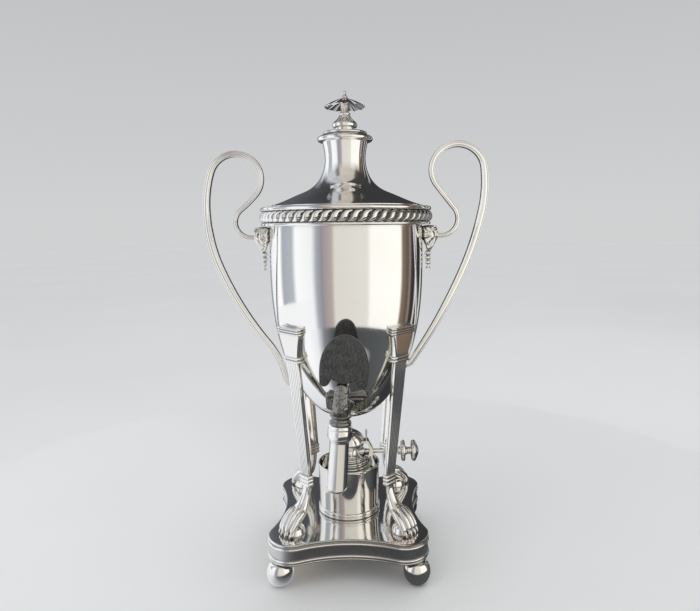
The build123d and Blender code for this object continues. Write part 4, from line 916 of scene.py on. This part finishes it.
def socket_form(end, along):
    """A small domed pad on the bowl round a handle's lower end."""
    side = Vector((0, 1, 0))
    up = along.cross(side)
    rings = []
    for radius, lift in ((5.4, 0.0), (5.4, 1.2), (5.1, 1.9), (4.4, 2.4), (3.0, 2.7), (0.6, 2.8)):
        ring = []
        for k in range(40):
            a = tau * k / 40
            spot = end + side * radius * cos(a) + up * radius * sin(a) - along * 6
            ring.append(onto_bowl(spot, along, 0.6) - along * lift)
        rings.append(ring)
    return skin(rings)


def mount_depth(share, turn, away, x):
    """The mount's half thickness at a share of its outline, round and away from its eye."""
    depth = 7.0 * max(1 - share**5, 0.0)**0.45
    leaf = 0.5 + 0.5 * cos(turn * 9 + 1.6 * away / 4)
    depth -= 1.5 * leaf * min(max((away - 3.6) / 3.0, 0.0), 1.0) * (1 - share**6)
    depth += 1.0 * max(1 - ((away - 2.6) / 1.3)**2, 0.0)
    depth -= 1.6 * max(1 - (away / 1.7)**2, 0.0)
    # Thinner where it meets the bowl
    return depth * min(max(0.35 + (x - 75.5) / 6.0, 0.35), 1.0)


def mount_form():
    """A scrolled leaf with an eye, and a small volute on each side of its head."""
    eye_x, eye_z = 86.2, 311.4
    outline = [(84.2, 319.8), (87.6, 319.4), (90.4, 317.0), (91.8, 313.0), (91.8, 309.0),
               (90.2, 304.8), (87.6, 300.2), (85.2, 296.0), (83.0, 294.2), (80.8, 295.2),
               (79.4, 299.0), (78.0, 302.0), (76.6, 305.0), (74.6, 307.0), (74.2, 312.0),
               (74.6, 318.0), (79.0, 319.6)]
    curve = spline(outline + outline[:3], steps=6)[6:-12]
    shares = (0.16, 0.3, 0.42, 0.55, 0.68, 0.8, 0.9, 0.96, 1.0)
    rings = []
    for side, share in [(1, share) for share in shares] + [(-1, share) for share in shares[-2::-1]]:
        ring = []
        for x, z in curve:
            px = eye_x + (x - eye_x) * share
            pz = eye_z + (z - eye_z) * share
            depth = mount_depth(share, atan2(z - eye_z, x - eye_x),
                                hypot(px - eye_x, pz - eye_z), px)
            ring.append((px, side * depth, pz))
        rings.append(ring)
    forms = [skin(rings)]
    for side in (1, -1):
        path = []
        for i in range(0, 22, 3):
            a = radians(200 - 24 * i)
            radius = 3.6 - 0.14 * i
            path.append((88.4 + radius * cos(a), side * (5.4 + 0.05 * i), 315.4 + radius * sin(a)))
        forms.append(rounded_tube(path, [0.95, 0.9, 0.85, 0.8, 0.75, 0.7, 0.65, 0.6], 12))
    return joined(*forms)


def make_mounts():
    """Scrolled leaf mounts under the border, each with a husk drop."""
    mount, husk = mount_form(), husk_form()
    for side in ("right", "left"):
        turn = mirrored if side == "left" else (lambda form: form)
        dress(f"handle_mount_{side}", turn(mount), cast, 60.0)
        dress(f"husk_drop_{side}", turn(husk), cast, 60.0)


def husk_form():
    """Graduated husks of four petals and a flared bell, on a stem."""
    def hung(form, level, lean=Matrix()):
        return placed(form, Matrix.Translation((husk_axis, 0, level)) @ lean)

    shift, tilt = Matrix.Translation, Matrix.Rotation(radians(-14), 4, "Y")
    forms = []
    level = husk_top
    for radius in (2.9, 2.6, 2.3):
        side = [(radius * 0.56 * sqrt(1 - t * t) * (1 - 0.25 * t), 2.3 * t)
                for t in np.linspace(-0.96, 0.96, 11)]
        petal = turned([(0.0, -2.3)] + side + [(0.0, 2.3)], 20)
        for quarter in range(4):
            lean = Matrix.Rotation(quarter * pi / 2, 4, "Z") @ shift((radius * 0.52, 0, 0)) @ tilt
            forms.append(hung(petal, level - 2.2, lean))
        level -= 4.6
    bell = [(0.0, 0.0), (1.1, -0.2), (1.3, -1.6), (1.9, -3.0), (2.6, -4.1), (2.2, -4.15),
            (0.0, -3.4)]
    forms.append(hung(turned(soften(bell, 0.3), 24), level))
    forms.append(hung(turned([(0.0, 0.4), (0.9, 0.0), (0.9, -17.0), (0.0, -17.4)], 14),
                      husk_top + 0.4))
    return joined(*forms)


# Tap
key_up = Vector((sin(tap_lean), 0, cos(tap_lean)))
pipe_run = boss_point - tap_centre
pipe_way = pipe_run.normalized()
tap_back = (pipe_way - key_up * pipe_way.dot(key_up)).normalized()
tap_side = tap_back.cross(key_up)
# Square to the bowl between two points of its profile, and up along it
boss_low, boss_high = bowl_profile[4], bowl_profile[2]
boss_out = Vector((0, boss_low[1] - boss_high[1], boss_low[0] - boss_high[0])).normalized()
boss_up = boss_out.cross(Vector((1, 0, 0)))


def in_tap(point):
    """From the tap's own frame (side, back, height) to the object's."""
    return tap_centre + tap_side * point[0] + tap_back * point[1] + key_up * point[2]


def boss_plate(width, height, corner, thickness, soft):
    """A plate of the boss with round corners and a soft edge, its underside on the bowl."""
    rings = []
    for inner, lift in ((0.0, None), (0.0, thickness - soft), (soft * 0.3, thickness - 0.3
                        * soft), (soft, thickness), (min(width, height) / 2 - 0.6, thickness)):
        w, h = width / 2 - inner, height / 2 - inner
        c = min(max(corner - inner * 0.6, 0.3), w - 0.05, h - 0.05)
        ring = []
        for x, y in round_box(w, h, c, 6):
            spot = boss_point + Vector((1, 0, 0)) * x + boss_up * y
            if lift is None:
                spot = onto_bowl(spot + boss_out * thickness * 0.5, -boss_out, 0.7)
            else:
                spot = spot + boss_out * lift
            ring.append(spot)
        rings.append(ring)
    return skin(rings)


def make_tap():
    """Stepped boss with a bored ring, and the faceted body with its spout."""
    to_boss = (Matrix.Translation(boss_point)
               @ boss_out.to_track_quat("Z", "Y").to_matrix().to_4x4())
    ring = turned(soften([(5.7, 1.0), (8.2, 1.0), (8.2, 5.0), (7.6, 5.8), (5.7, 5.8)], 0.4,
                         closed=True), 64)
    boss = joined(boss_plate(39.0, 20.0, 4.0, 1.6, 0.6), boss_plate(32.0, 14.6, 2.9, 3.8, 0.9),
                  placed(ring, to_boss))
    dress("tap_boss", boss, chased_painted_dark)
    # Heights on the key's axis and radii of the octagon, outside and then inside
    stations = [(8.0, 8.9), (7.4, 9.6), (6.0, 10.3), (5.6, 10.4), (4.7, 10.4), (4.4, 10.0),
                (3.9, 10.0), (3.6, 10.4), (-3.0, 10.4), (-6.5, 8.4), (-7.2, 8.2), (-44.0, 8.5),
                (-46.0, 8.4), (-48.4, 6.1), (-48.4, 4.4), (-30.0, 4.4), (-7.0, 4.4), (-7.0, 6.5),
                (8.0, 6.5)]
    rings = [circle(radius, level, 8) for level, radius in stations]
    body = make_piece("tap_body_look", placed(skin(rings, True), in_tap))
    bevel(body, 0.45, 2, 20.0)
    dress("tap_body", body, plate, 30.0)


def make_key():
    """The rough-chased shank and its tang, which carries the ebonised palmette."""
    foot, collar = 8.2, 16.2
    profile = [(0.0, foot), (9.0, foot), (9.3, foot + 0.4), (9.3, foot + 1.8), (8.9, foot + 2.4),
               (7.6, foot + 3.6), (7.4, foot + 4.6), (8.0, foot + 5.6), (9.0, foot + 6.4),
               (9.3, collar - 0.9), (9.2, collar - 0.1), (6.4, collar + 0.7)]
    profile += spline([(6.4, collar + 0.9), (7.2, collar + 4.4), (7.1, collar + 10.4),
                       (6.3, collar + 17.4), (5.7, 39.4)], steps=8)
    profile += [(5.2, 40.8), (4.2, 41.7), (0.0, 42.0)]
    fine = []
    for before, after in zip(profile, profile[1:]):
        steps = max(1, int(hypot(after[0] - before[0], after[1] - before[1]) / 0.42))
        fine += [(before[0] + (after[0] - before[0]) * i / steps,
                  before[1] + (after[1] - before[1]) * i / steps) for i in range(steps)]
    verts, faces = turned(fine + profile[-1:], 112)
    rough = []
    for x, y, z in verts:
        radius = hypot(x, y)
        if radius > 1.0:
            spot = Vector((x, y, z))
            wobble = 0.35 * noise.noise(spot * 0.35) + 0.5 * noise.noise(spot * 0.6)
            wobble -= 0.4 * abs(noise.noise(spot * 0.95 + Vector((9, 3, 5))))
            wobble *= 0.1 if z < collar + 0.6 else 0.85
            x, y = x * (1 + wobble / radius), y * (1 + wobble / radius)
        rough.append((x, y, z))
    tang = skin([[(sx * 3.45, sy * 1.45, z) for sx, sy in ((1, 1), (-1, 1), (-1, -1), (1, -1))]
                 for z in (39.0, 55.9)])
    dress("key_shank", placed(joined((rough, faces), tang), in_tap), chased_painted_dark, 45.0)


def make_palmette():
    """The wooden palmette: a domed plate with two volutes at its foot."""
    top = [(21.7 * cos(radians(a)), leaf_middle + 29.0 * sin(radians(a))) for a in range(0, 181, 5)]
    half = [(-21.6, 50.0), (-21.3, 46.0)] + arc((-17.0, 42.4), 4.0, 184, 378, 14)
    half += [(-13.1, 44.3), (-12.6, 45.2), (-11.4, 45.4), (-8.0, 44.0), (-4.0, 42.3)]
    outline = top + half + [(0.0, 41.2)] + [(-x, z) for x, z in half[::-1]]
    rings = []
    for shrink, y in ((0.5, -4.0), (0.86, -3.9), (0.965, -3.0), (1.0, -1.2), (1.0, 1.2),
                      (0.965, 3.0), (0.86, 3.9), (0.5, 4.0)):
        move = 1 - shrink
        rings.append([((0.965 * x + leaf_side) * (1 - 0.9 * move), y,
                       leaf_middle + (z - leaf_middle) * (1 - 0.8 * move)) for x, z in outline])
    piece = make_piece("key_handle_look", skin(rings))
    fuse(piece, 0.32, 5)
    for vert in piece.data.vertices:
        x, y, z = (value / MM for value in vert.co)
        for side in (-1, 1):
            away = hypot(x - leaf_side - side * 16.4, z - 42.6)
            if away < 4.8 and abs(y) > 1.5:
                turn = atan2(z - 42.6, side * (x - leaf_side) - 16.4) / tau
                wave = cos(tau * (away / 2.3 - turn))
                y -= 0.75 * max(wave, 0.0)**2 * (1 if y > 0 else -1)
        y *= 0.9 + 0.1 * max(0.0, 1 - ((x / 22)**2 + ((z - 56) / 30)**2))
        vert.co = in_tap(Vector((x, y, z))) * MM
    dress("key_handle", piece, wood, 60.0)


# Lid and finial
def make_lid():
    """The spun lid, its stepped collar, the turned stem, the fluted parasol and the tip."""
    outside = spline([(lid_edge, moulding_top + 1.2)] + lid_profile, steps=14)
    inside = inset(outside[::-1], lid_wall)[:-6]
    inside[0] = (lid_profile[-1][0] - lid_wall, collar_foot)
    seat = moulding_top + 0.05
    outline = outside + inside + [(72.0, seat), (lid_edge - 0.1, seat)]
    dress("lid_shell", turned(outline, 192), polished)
    collar = [(0.0, collar_foot - 0.4), (24.0, collar_foot - 0.4), (25.2, collar_foot)]
    lower = (collar_foot + collar_step) / 2
    collar += arc((24.9, lower), collar_step - lower, -84, 84, 14)
    collar += [(21.8, 409.3), (19.4, 409.5), (19.0, 410.2), (20.2, 410.7)]
    collar += arc((20.6, 412.2), 1.4, -80, 84, 12)
    collar += [(17.0, 413.75), (12.0, 413.9), (0.0, 413.9)]
    dress("lid_collar", turned(collar, 128), plate)
    stem = [(0.0, 413.8), (10.4, 413.8), (10.7, 414.3), (10.4, 415.0), (9.8, 415.6), (9.9, 417.2),
            (11.6, 418.2)]
    stem += spline([(12.2, 418.9), (12.4, 421.4), (10.4, 424.0), (7.6, 426.6), (5.4, 430.2)],
                   steps=8)
    stem += arc((4.6, 431.6), 1.2, -70, 70, 8)
    stem += [(4.4, 433.0), (4.1, 434.2), (3.9, 438.0), (4.1, 442.4), (4.8, hub_height),
             (0.0, hub_height)]
    dress("finial_stem", turned(stem, 96), polished)
    make_parasol()
    tip = [(0.0, 446.8), (2.6, 447.0), (3.2, 448.0), (3.1, 449.0), (2.2, 449.6), (1.4, 451.2),
           (1.2, 451.8)]
    tip += arc((0.0, 453.2), 1.8, -52, 89, 12) + [(0.0, 455.0)]
    dress("finial_tip", turned(soften(tip, 0.3), 48), cast)


def make_parasol():
    """A canopy of twelve gores with a scalloped edge, thin, with a hub under it."""
    steps, rows = 14, 16
    count = gore_count * steps
    rings = []
    for layer in (0, 1):
        for row in range(rows + 1) if layer == 0 else range(rows, -1, -1):
            t = row / rows
            ring = []
            for i in range(count):
                angle = tau * i / count
                share = i % steps / steps
                gore = sin(pi * share)
                reach = parasol_radius - 0.8 * (1 - gore**0.7)
                radius = 3.0 + (reach - 3.0) * t
                level = parasol_top - 0.2 - parasol_drop * (0.3 * t + 0.7 * t**1.7)
                level -= (1 - gore**0.55) * 0.75 * min(t * 2.2, 1.0)
                level += 0.4 * gore * t**3
                if layer == 1:
                    radius = max(radius - 0.45, 2.4)
                    level -= 1.1 - 0.45 * t
                ring.append((radius * cos(angle), radius * sin(angle), level))
            rings.append(ring)
    canopy = skin(rings, True)
    hub = turned(soften([(0.0, 444.65), (4.9, 444.65), (5.2, 445.2), (4.0, 446.4), (3.2, 446.9),
                         (0.0, 447.0)], 0.3), 48)
    dress("finial_parasol", joined(canopy, hub), plate, 65.0)


# Spirit lamp
# From a solid turned about Z to one turned about the wick key's axis, towards +X
rod_place = Matrix.Translation((0, rod_side, rod_height)) @ Matrix.Rotation(pi / 2, 4, "Y")


def make_lamp():
    """Cup, stepped cover, burner neck, wick, knob and snuffer."""
    cup = [(0.0, 44.0), (27.2, 44.0), (27.2, 40.0), (29.7, 40.0), (30.2, 40.5), (30.2, 41.6)]
    cup += [(29.6, 42.1), (29.5, 42.7), (30.2, 43.2), (30.2, 44.6), (29.7, 45.2), (28.9, 45.5)]
    cup += [(28.95, 48.0), (29.95, 82.6), (30.1, 83.6)]
    cup += arc((29.5, 84.7), 0.95, -40, 200, 12)
    cup += [(28.6, 83.6), (27.6, 45.4), (0.0, 45.2)]
    dress("lamp_cup", turned(soften(cup, 0.25), 128), lamp_silver)
    cover = [(19.6, 72.0), (21.0, 72.0)]
    for radius, low, high in ((21.0, 72.0, 84.6), (19.0, 84.6, 88.2), (17.0, 88.2, 91.7)):
        reeds = max(1, round((high - max(low, 77.6)) / 2.3))
        start = max(low, high - reeds * 2.3)
        pitch = (high - start) / reeds
        for reed in range(reeds):
            cover += arc((radius - pitch * 0.36, start + (reed + 0.5) * pitch), pitch * 0.46,
                         -80, 80, 8)
        cover.append((radius - 0.5, high))
    cover += [(9.2, 91.7), (9.2, 90.4), (15.4, 90.3), (15.6, 86.8), (17.6, 86.8), (17.8, 83.2),
              (19.6, 83.2)]
    dress("lamp_cover", turned(cover, 128), lamp_silver, 50.0)
    neck = spline([(15.4, 91.7), (12.0, 94.1), (9.8, 98.4)], (-1, 0.3), (0, 1), 8)
    neck += [(10.3, 99.6), (10.8, 100.2), (14.6, 100.6), (15.0, 101.1), (15.0, 103.1), (14.5, 103.6),
             (3.95, 103.6), (3.95, 102.6), (8.3, 102.5), (8.6, 98.4), (10.8, 93.2), (12.7, 91.7)]
    bearing = placed(turned(soften([(2.2, 9.0), (3.1, 9.0), (3.1, 11.0), (3.4, 11.4), (3.4, 15.0),
                                    (3.1, 15.6), (2.2, 15.6)], 0.3, closed=True), 40), rod_place)
    dress("lamp_neck", joined(turned(neck, 112), bearing), lamp_silver)
    cotton_form = [(0.0, 50.0), (3.15, 50.0), (3.15, 103.4), (2.9, 104.5), (2.0, 105.0),
                   (0.0, 104.8)]
    dress("wick", turned(cotton_form, 48), cotton_weave)
    rod = [(0.0, 4.2), (1.15, 4.2), (1.15, 8.0), (2.1, 8.0), (2.1, 16.2), (2.5, 16.6), (2.5, 17.6),
           (2.1, 18.0), (2.0, 30.0), (2.1, 45.0), (2.1, 52.3), (0.0, 52.3)]
    dress("wick_rod", placed(turned(soften(rod, 0.12), 40), rod_place), lamp_silver)
    knob = [(2.1, 49.0), (3.4, 49.0), (3.8, 49.6), (3.7, 51.4), (4.4, 52.2), (9.0, 52.4)]
    knob += arc((8.1, 54.15), 1.85, -62, 62, 10)
    knob += [(8.9, 55.9), (4.8, 56.0), (4.4, 56.6)]
    knob += spline([(4.4, 56.6), (3.3, 58.6), (3.2, 59.6), (4.5, 62.2)], steps=5)
    knob += [(8.6, 62.4), (9.4, 62.8)] + arc((8.3, 64.7), 1.7, -50, 70, 8)
    knob += [(8.6, 66.6), (7.9, 67.0), (6.6, 67.4), (6.4, 67.9), (5.4, 68.2), (4.6, 68.4),
             (4.2, 68.9), (2.6, 69.3), (0.0, 69.5), (0.0, 52.4), (2.1, 52.4)]
    dress("wick_knob", placed(turned(soften(knob, 0.22, closed=True), 96), rod_place),
          lamp_silver)
    dome = spline([(16.0, 104.0), (15.5, 107.2), (12.4, 112.1), (0.0, 117.0)], (0, 1), (-1, 0), 12)
    shell = dome + [(radius, height) for radius, height in
                    spline([(15.0, 104.0), (14.5, 107.0), (11.6, 111.4), (0.0, 116.0)],
                           (0, 1), (-1, 0), 12)[::-1]]
    dress("snuffer_cap", turned(shell, 96), lamp_silver)


# Room
# Azimuth from the camera's side, positive to the right, and what stands there
room_height = 1.2
room_radius = 0.53
room_bands = [(-180, (0.05, 0.05, 0.055)), (-160, (0.1, 0.105, 0.12)), (-154, (0.3, 0.33, 0.38)),
              (-144, (0.38, 0.41, 0.46)), (-139, (0.9, 0.93, 1.0)),
              (-108, (1.12, 1.14, 1.18)), (-101, (0.42, 0.47, 0.53)), (-80, (0.5, 0.54, 0.6)),
              (-73, (1.08, 1.1, 1.14)), (-47, (0.98, 1.0, 1.04)), (-40, (0.42, 0.45, 0.51)),
              (-32, (0.3, 0.31, 0.35)), (-29, (0.4, 0.35, 0.35)), (-19, (0.5, 0.44, 0.42)),
              (-15, (0.78, 0.76, 0.72)), (30, (0.84, 0.82, 0.78)), (35, (1.1, 1.09, 1.05)),
              (82, (1.16, 1.14, 1.09)), (86, (0.26, 0.19, 0.14)), (98, (0.12, 0.09, 0.07)),
              (103, (0.3, 0.26, 0.22)), (106, (0.05, 0.045, 0.04)), (115, 0.03),
              (117.5, (0.8, 0.8, 0.78)), (120, (0.7, 0.7, 0.69)), (122, 0.03),
              (136, 0.03), (139, (0.75, 0.75, 0.74)), (144, 0.7),
              (147, (0.03, 0.03, 0.033)), (180, (0.05, 0.05, 0.055))]
# The same above the height of a door, and on the ceiling
upper_bands = [(-180, (0.04, 0.04, 0.044)), (-130, (0.08, 0.085, 0.095)), (-105, (0.6, 0.63, 0.68)),
               (-64, (0.6, 0.63, 0.68)), (-48, (0.2, 0.2, 0.21)), (-38, (0.3, 0.28, 0.27)),
               (-28, (0.66, 0.61, 0.55)), (50, (0.6, 0.55, 0.49)), (64, (0.12, 0.11, 0.1)),
               (80, (0.06, 0.055, 0.05)), (180, (0.04, 0.04, 0.044))]
ceiling_bands = [(-180, (0.7, 0.69, 0.67)), (-150, (0.7, 0.69, 0.67)), (-135, (0.06, 0.06, 0.065)),
                 (-105, (0.55, 0.58, 0.62)), (-60, (0.5, 0.52, 0.55)), (-30, (0.6, 0.56, 0.51)),
                 (55, (0.56, 0.52, 0.47)), (75, (0.06, 0.055, 0.05)), (140, 0.05),
                 (152, (0.7, 0.69, 0.67)), (180, (0.7, 0.69, 0.67))]
# The dark table: bluish where it mirrors the window on the left
table_bands = [(-180, (0.04, 0.04, 0.044)), (-158, (0.1, 0.105, 0.12)), (-138, (0.85, 0.88, 0.93)),
               (-62, (1.05, 1.07, 1.12)), (-46, (0.9, 0.92, 0.97)), (-34, (0.25, 0.26, 0.29)),
               (-20, (0.09, 0.095, 0.1)), (20, (0.075, 0.08, 0.085)), (75, (0.11, 0.12, 0.125)),
               (110, (0.04, 0.04, 0.044)), (180, (0.04, 0.04, 0.044))]
back_bands = [(-180, (0.4, 0.405, 0.42)), (-173, (0.3, 0.305, 0.32)), (-161, (0.09, 0.095, 0.11)),
              (148, (0.04, 0.04, 0.044)), (165, (0.3, 0.305, 0.32)), (180, (0.4, 0.405, 0.42))]
window_bands = [(-180, (1.0, 1.02, 1.05)), (180, (1.0, 1.02, 1.05))]
all_but_reflections = ("camera", "diffuse", "shadow", "transmission", "volume_scatter")


def surround(name, verts, faces, material, unseen=()):
    """A mesh of the surroundings, in metres, which some kinds of rays pass by."""
    mesh = bpy.data.meshes.new(name)
    mesh.from_pydata(verts, [], faces)
    mesh.materials.append(material)
    piece = bpy.data.objects.new(name, mesh)
    scene.collection.objects.link(piece)
    for rays in unseen:
        setattr(piece, f"visible_{rays}", False)


def band_card(name, radius, start, end, low, high, material):
    """An upright round card between two azimuths and two heights, in metres."""
    steps = max(8, round(abs(end - start) / 4))
    turns = [radians(start + (end - start) * i / steps - 90) for i in range(steps + 1)]
    verts = [(radius * cos(a), radius * sin(a), z) for z in (low, high) for a in turns]
    faces = [(i, i + 1, steps + 2 + i, steps + 1 + i) for i in range(steps)]
    surround(name, verts, faces, material, all_but_reflections)


def flat_card(name, height, radii, material):
    """A level round card of rings with these radii, in metres."""
    steps = 72
    verts = [vert for radius in radii for vert in circle(radius, height, steps)]
    faces = [(row * steps + i, row * steps + (i + 1) % steps,
              (row + 1) * steps + (i + 1) % steps, (row + 1) * steps + i)
             for row in range(len(radii) - 1) for i in range(steps)]
    surround(name, verts, faces, material, all_but_reflections)


def azimuth_colour(s, bands, waver):
    """The colour of the bands round the room, with edges that waver a little."""
    position = s.add("NewGeometry").outputs["Position"]
    x, y, z = s.split(position)
    share = s.plus(s.math("DIVIDE", s.math("ARCTAN2", x, s.times(y, -1.0)), tau), 0.5)
    drift = s.times(s.math("SUBTRACT", s.noise(1.6, 3.0, 0.5, position), 0.5), waver)
    return s.ramp(s.plus(share, drift),
                  *[((azimuth + 180) / 360, colour) for azimuth, colour in bands]), position


def glowing(name, bands, waver=0.02, near=None, above=None, faded=None):
    """Light of the bands, dimmer towards the middle (near), with other bands above a height,
    or faded to the dark of the room at a lower and an upper height."""
    s = Surface(name)
    colour, position = azimuth_colour(s, bands, waver)
    level = s.split(position)[2]
    if near:
        flat = s.add("VectorMath", {0: position, 1: (1, 1, 0)}, operation="MULTIPLY")
        share = s.math("DIVIDE", s.apart(flat.outputs["Vector"], (0, 0, 0)), room_radius)
        colour = s.mix(1.0, colour, s.ramp(share, *near), "MULTIPLY")
        narrow = s.add("VectorMath", {0: position, 1: (0.5, 1, 1)}, operation="MULTIPLY")
        spot = s.apart(narrow.outputs["Vector"], (0.0, -0.25, 0.0))
        shine = s.ramp(s.math("DIVIDE", spot, 0.1), (0.6, 1.0), (1.0, 0.0))
        colour = s.mix(shine, colour, (0.72, 0.68, 0.62))
    if above:
        waved = s.plus(level, s.times(s.noise(5.0, 3.0, 0.5, position), 0.1))
        upper = azimuth_colour(s, above, waver)[0]
        colour = s.mix(s.ramp(waved, (0.6, 0.0), (0.86, 1.0)), colour, upper)
    if faded:
        share = s.math("DIVIDE", s.math("SUBTRACT", level, faded[0]), faded[1] - faded[0])
        colour = s.mix(s.ramp(share, (0.0, 0.0), (0.35, 0.8), (0.65, 0.8), (1.0, 0.0)),
                       (0.05, 0.05, 0.055), colour)
    return s.finish("Emission", {"Color": colour, "Strength": 1.0})


def make_cards():
    """Round the urn, seen by reflections alone: room, table, ceiling and two bright places."""
    band_card("room_ring", room_radius, -180, 180, 0.0, room_height,
              glowing("room_glow", room_bands, above=upper_bands))
    inner = room_radius - 0.012
    low, high = 0.02, 0.2
    band_card("back_light", inner, 148, 199, low, high,
              glowing("back_glow", back_bands, faded=(low, high)))
    band_card("window_left", inner, -124, -52, 0.0, 0.135, glowing("window_glow", window_bands))
    flat_card("table_card", 0.0004, (0.03, 0.3, room_radius),
              glowing("table_glow", table_bands, 0.03, [(0.2, 0.85), (0.45, 1.0)]))
    flat_card("ceiling_card", room_height, (0.02, 0.3, room_radius),
              glowing("ceiling_glow", ceiling_bands))


def make_floor():
    """The pale floor."""
    size = 9.0
    s = Surface("floor_pale")
    shade = s.mix(s.ramp(s.noise(2.0, 3.0), (0.3, 0.0), (0.7, 1.0)), (0.77, 0.77, 0.765),
                  (0.8, 0.8, 0.795))
    surround("floor", [(-size, -size, 0), (size, -size, 0), (size, size, 0), (-size, size, 0)],
             [(0, 1, 2, 3)], s.finish("BsdfPrincipled", {"Base Color": shade, "Roughness": 0.7}))


def make_world():
    """The pale backdrop, which metal and glass show too, and an even fill of light."""
    s = Surface("pale_room", world=True)
    height = s.split(s.add("TexCoord").outputs["Generated"])[2]
    backdrop = s.ramp(height, (0.0, (0.635, 0.64, 0.645)), (0.85, (0.4, 0.41, 0.43)))
    pale = s.add("Background", {"Color": backdrop})
    fill = s.add("Background", {"Color": (0.96, 0.98, 1.0), "Strength": 0.86})
    rays = s.add("LightPath").outputs
    seen = s.math("MAXIMUM", rays["Is Camera Ray"], rays["Is Glossy Ray"])
    seen = s.math("MAXIMUM", seen, rays["Is Transmission Ray"])
    scene.world = s.finish("MixShader", {0: seen, 1: fill.outputs[0], 2: pale.outputs[0]})


def make_lights():
    """Soft area lights, with their place, two sizes, power and colour."""
    for name, where, size_x, size_y, power, colour in (
            ("key", (-0.75, -0.75, 1.25), 0.6, 0.8, 1.6, (1.0, 0.99, 0.97)),
            ("fill", (0.9, -0.5, 0.95), 0.3, 0.7, 0.6, (1.0, 0.97, 0.94)),
            ("top", (0.0, 0.1, 1.7), 0.7, 0.7, 0.9, (1.0, 1.0, 1.0)),
            ("rim", (0.7, 0.85, 0.9), 0.2, 0.8, 0.7, (0.95, 0.98, 1.0))):
        lamp = bpy.data.lights.new(name, "AREA")
        lamp.shape = "RECTANGLE"
        lamp.size, lamp.size_y = size_x, size_y
        lamp.energy = power
        lamp.color = colour
        holder = bpy.data.objects.new(name, lamp)
        scene.collection.objects.link(holder)
        holder.location = where
        aim = Vector((0, 0, 0.22)) - holder.location
        holder.rotation_euler = aim.to_track_quat("-Z", "Y").to_euler()


def make_camera():
    """The photograph's viewpoint, level with the border."""
    camera = bpy.data.cameras.new("camera")
    camera.sensor_width = 36.0
    camera.lens = 30.19
    camera.shift_x = -0.0126
    camera.shift_y = -0.114
    holder = bpy.data.objects.new("camera", camera)
    scene.collection.objects.link(holder)
    holder.location = (0.0128, -0.587, 0.320)
    holder.rotation_euler = (pi / 2, 0.01197, 0)
    scene.camera = holder
    scene.view_settings.view_transform = "Standard"


make_camera()
make_floor()
make_cards()
make_world()
make_lights()
make_plinth()
make_feet()
make_legs()
make_paws()
make_bowl()
make_border()
make_handles()
make_mounts()
make_tap()
make_key()
make_palmette()
make_lid()
make_lamp()
for node in ("base_plate", "foot_nuts", "paw_screws", "tap_plug", "wick_tube", "wick_carrier",
             "wick_pinion", "finial_nut", "snuffer_pin"):
    keep(node, bare_brass)
for node in ("snuffer_lug", "snuffer_arm", "lamp_reservoir"):
    keep(node, lamp_silver)
keep("key_pin", wood)
for node in ("lid_bezel", "tap_pipe"):
    keep(node, plate)
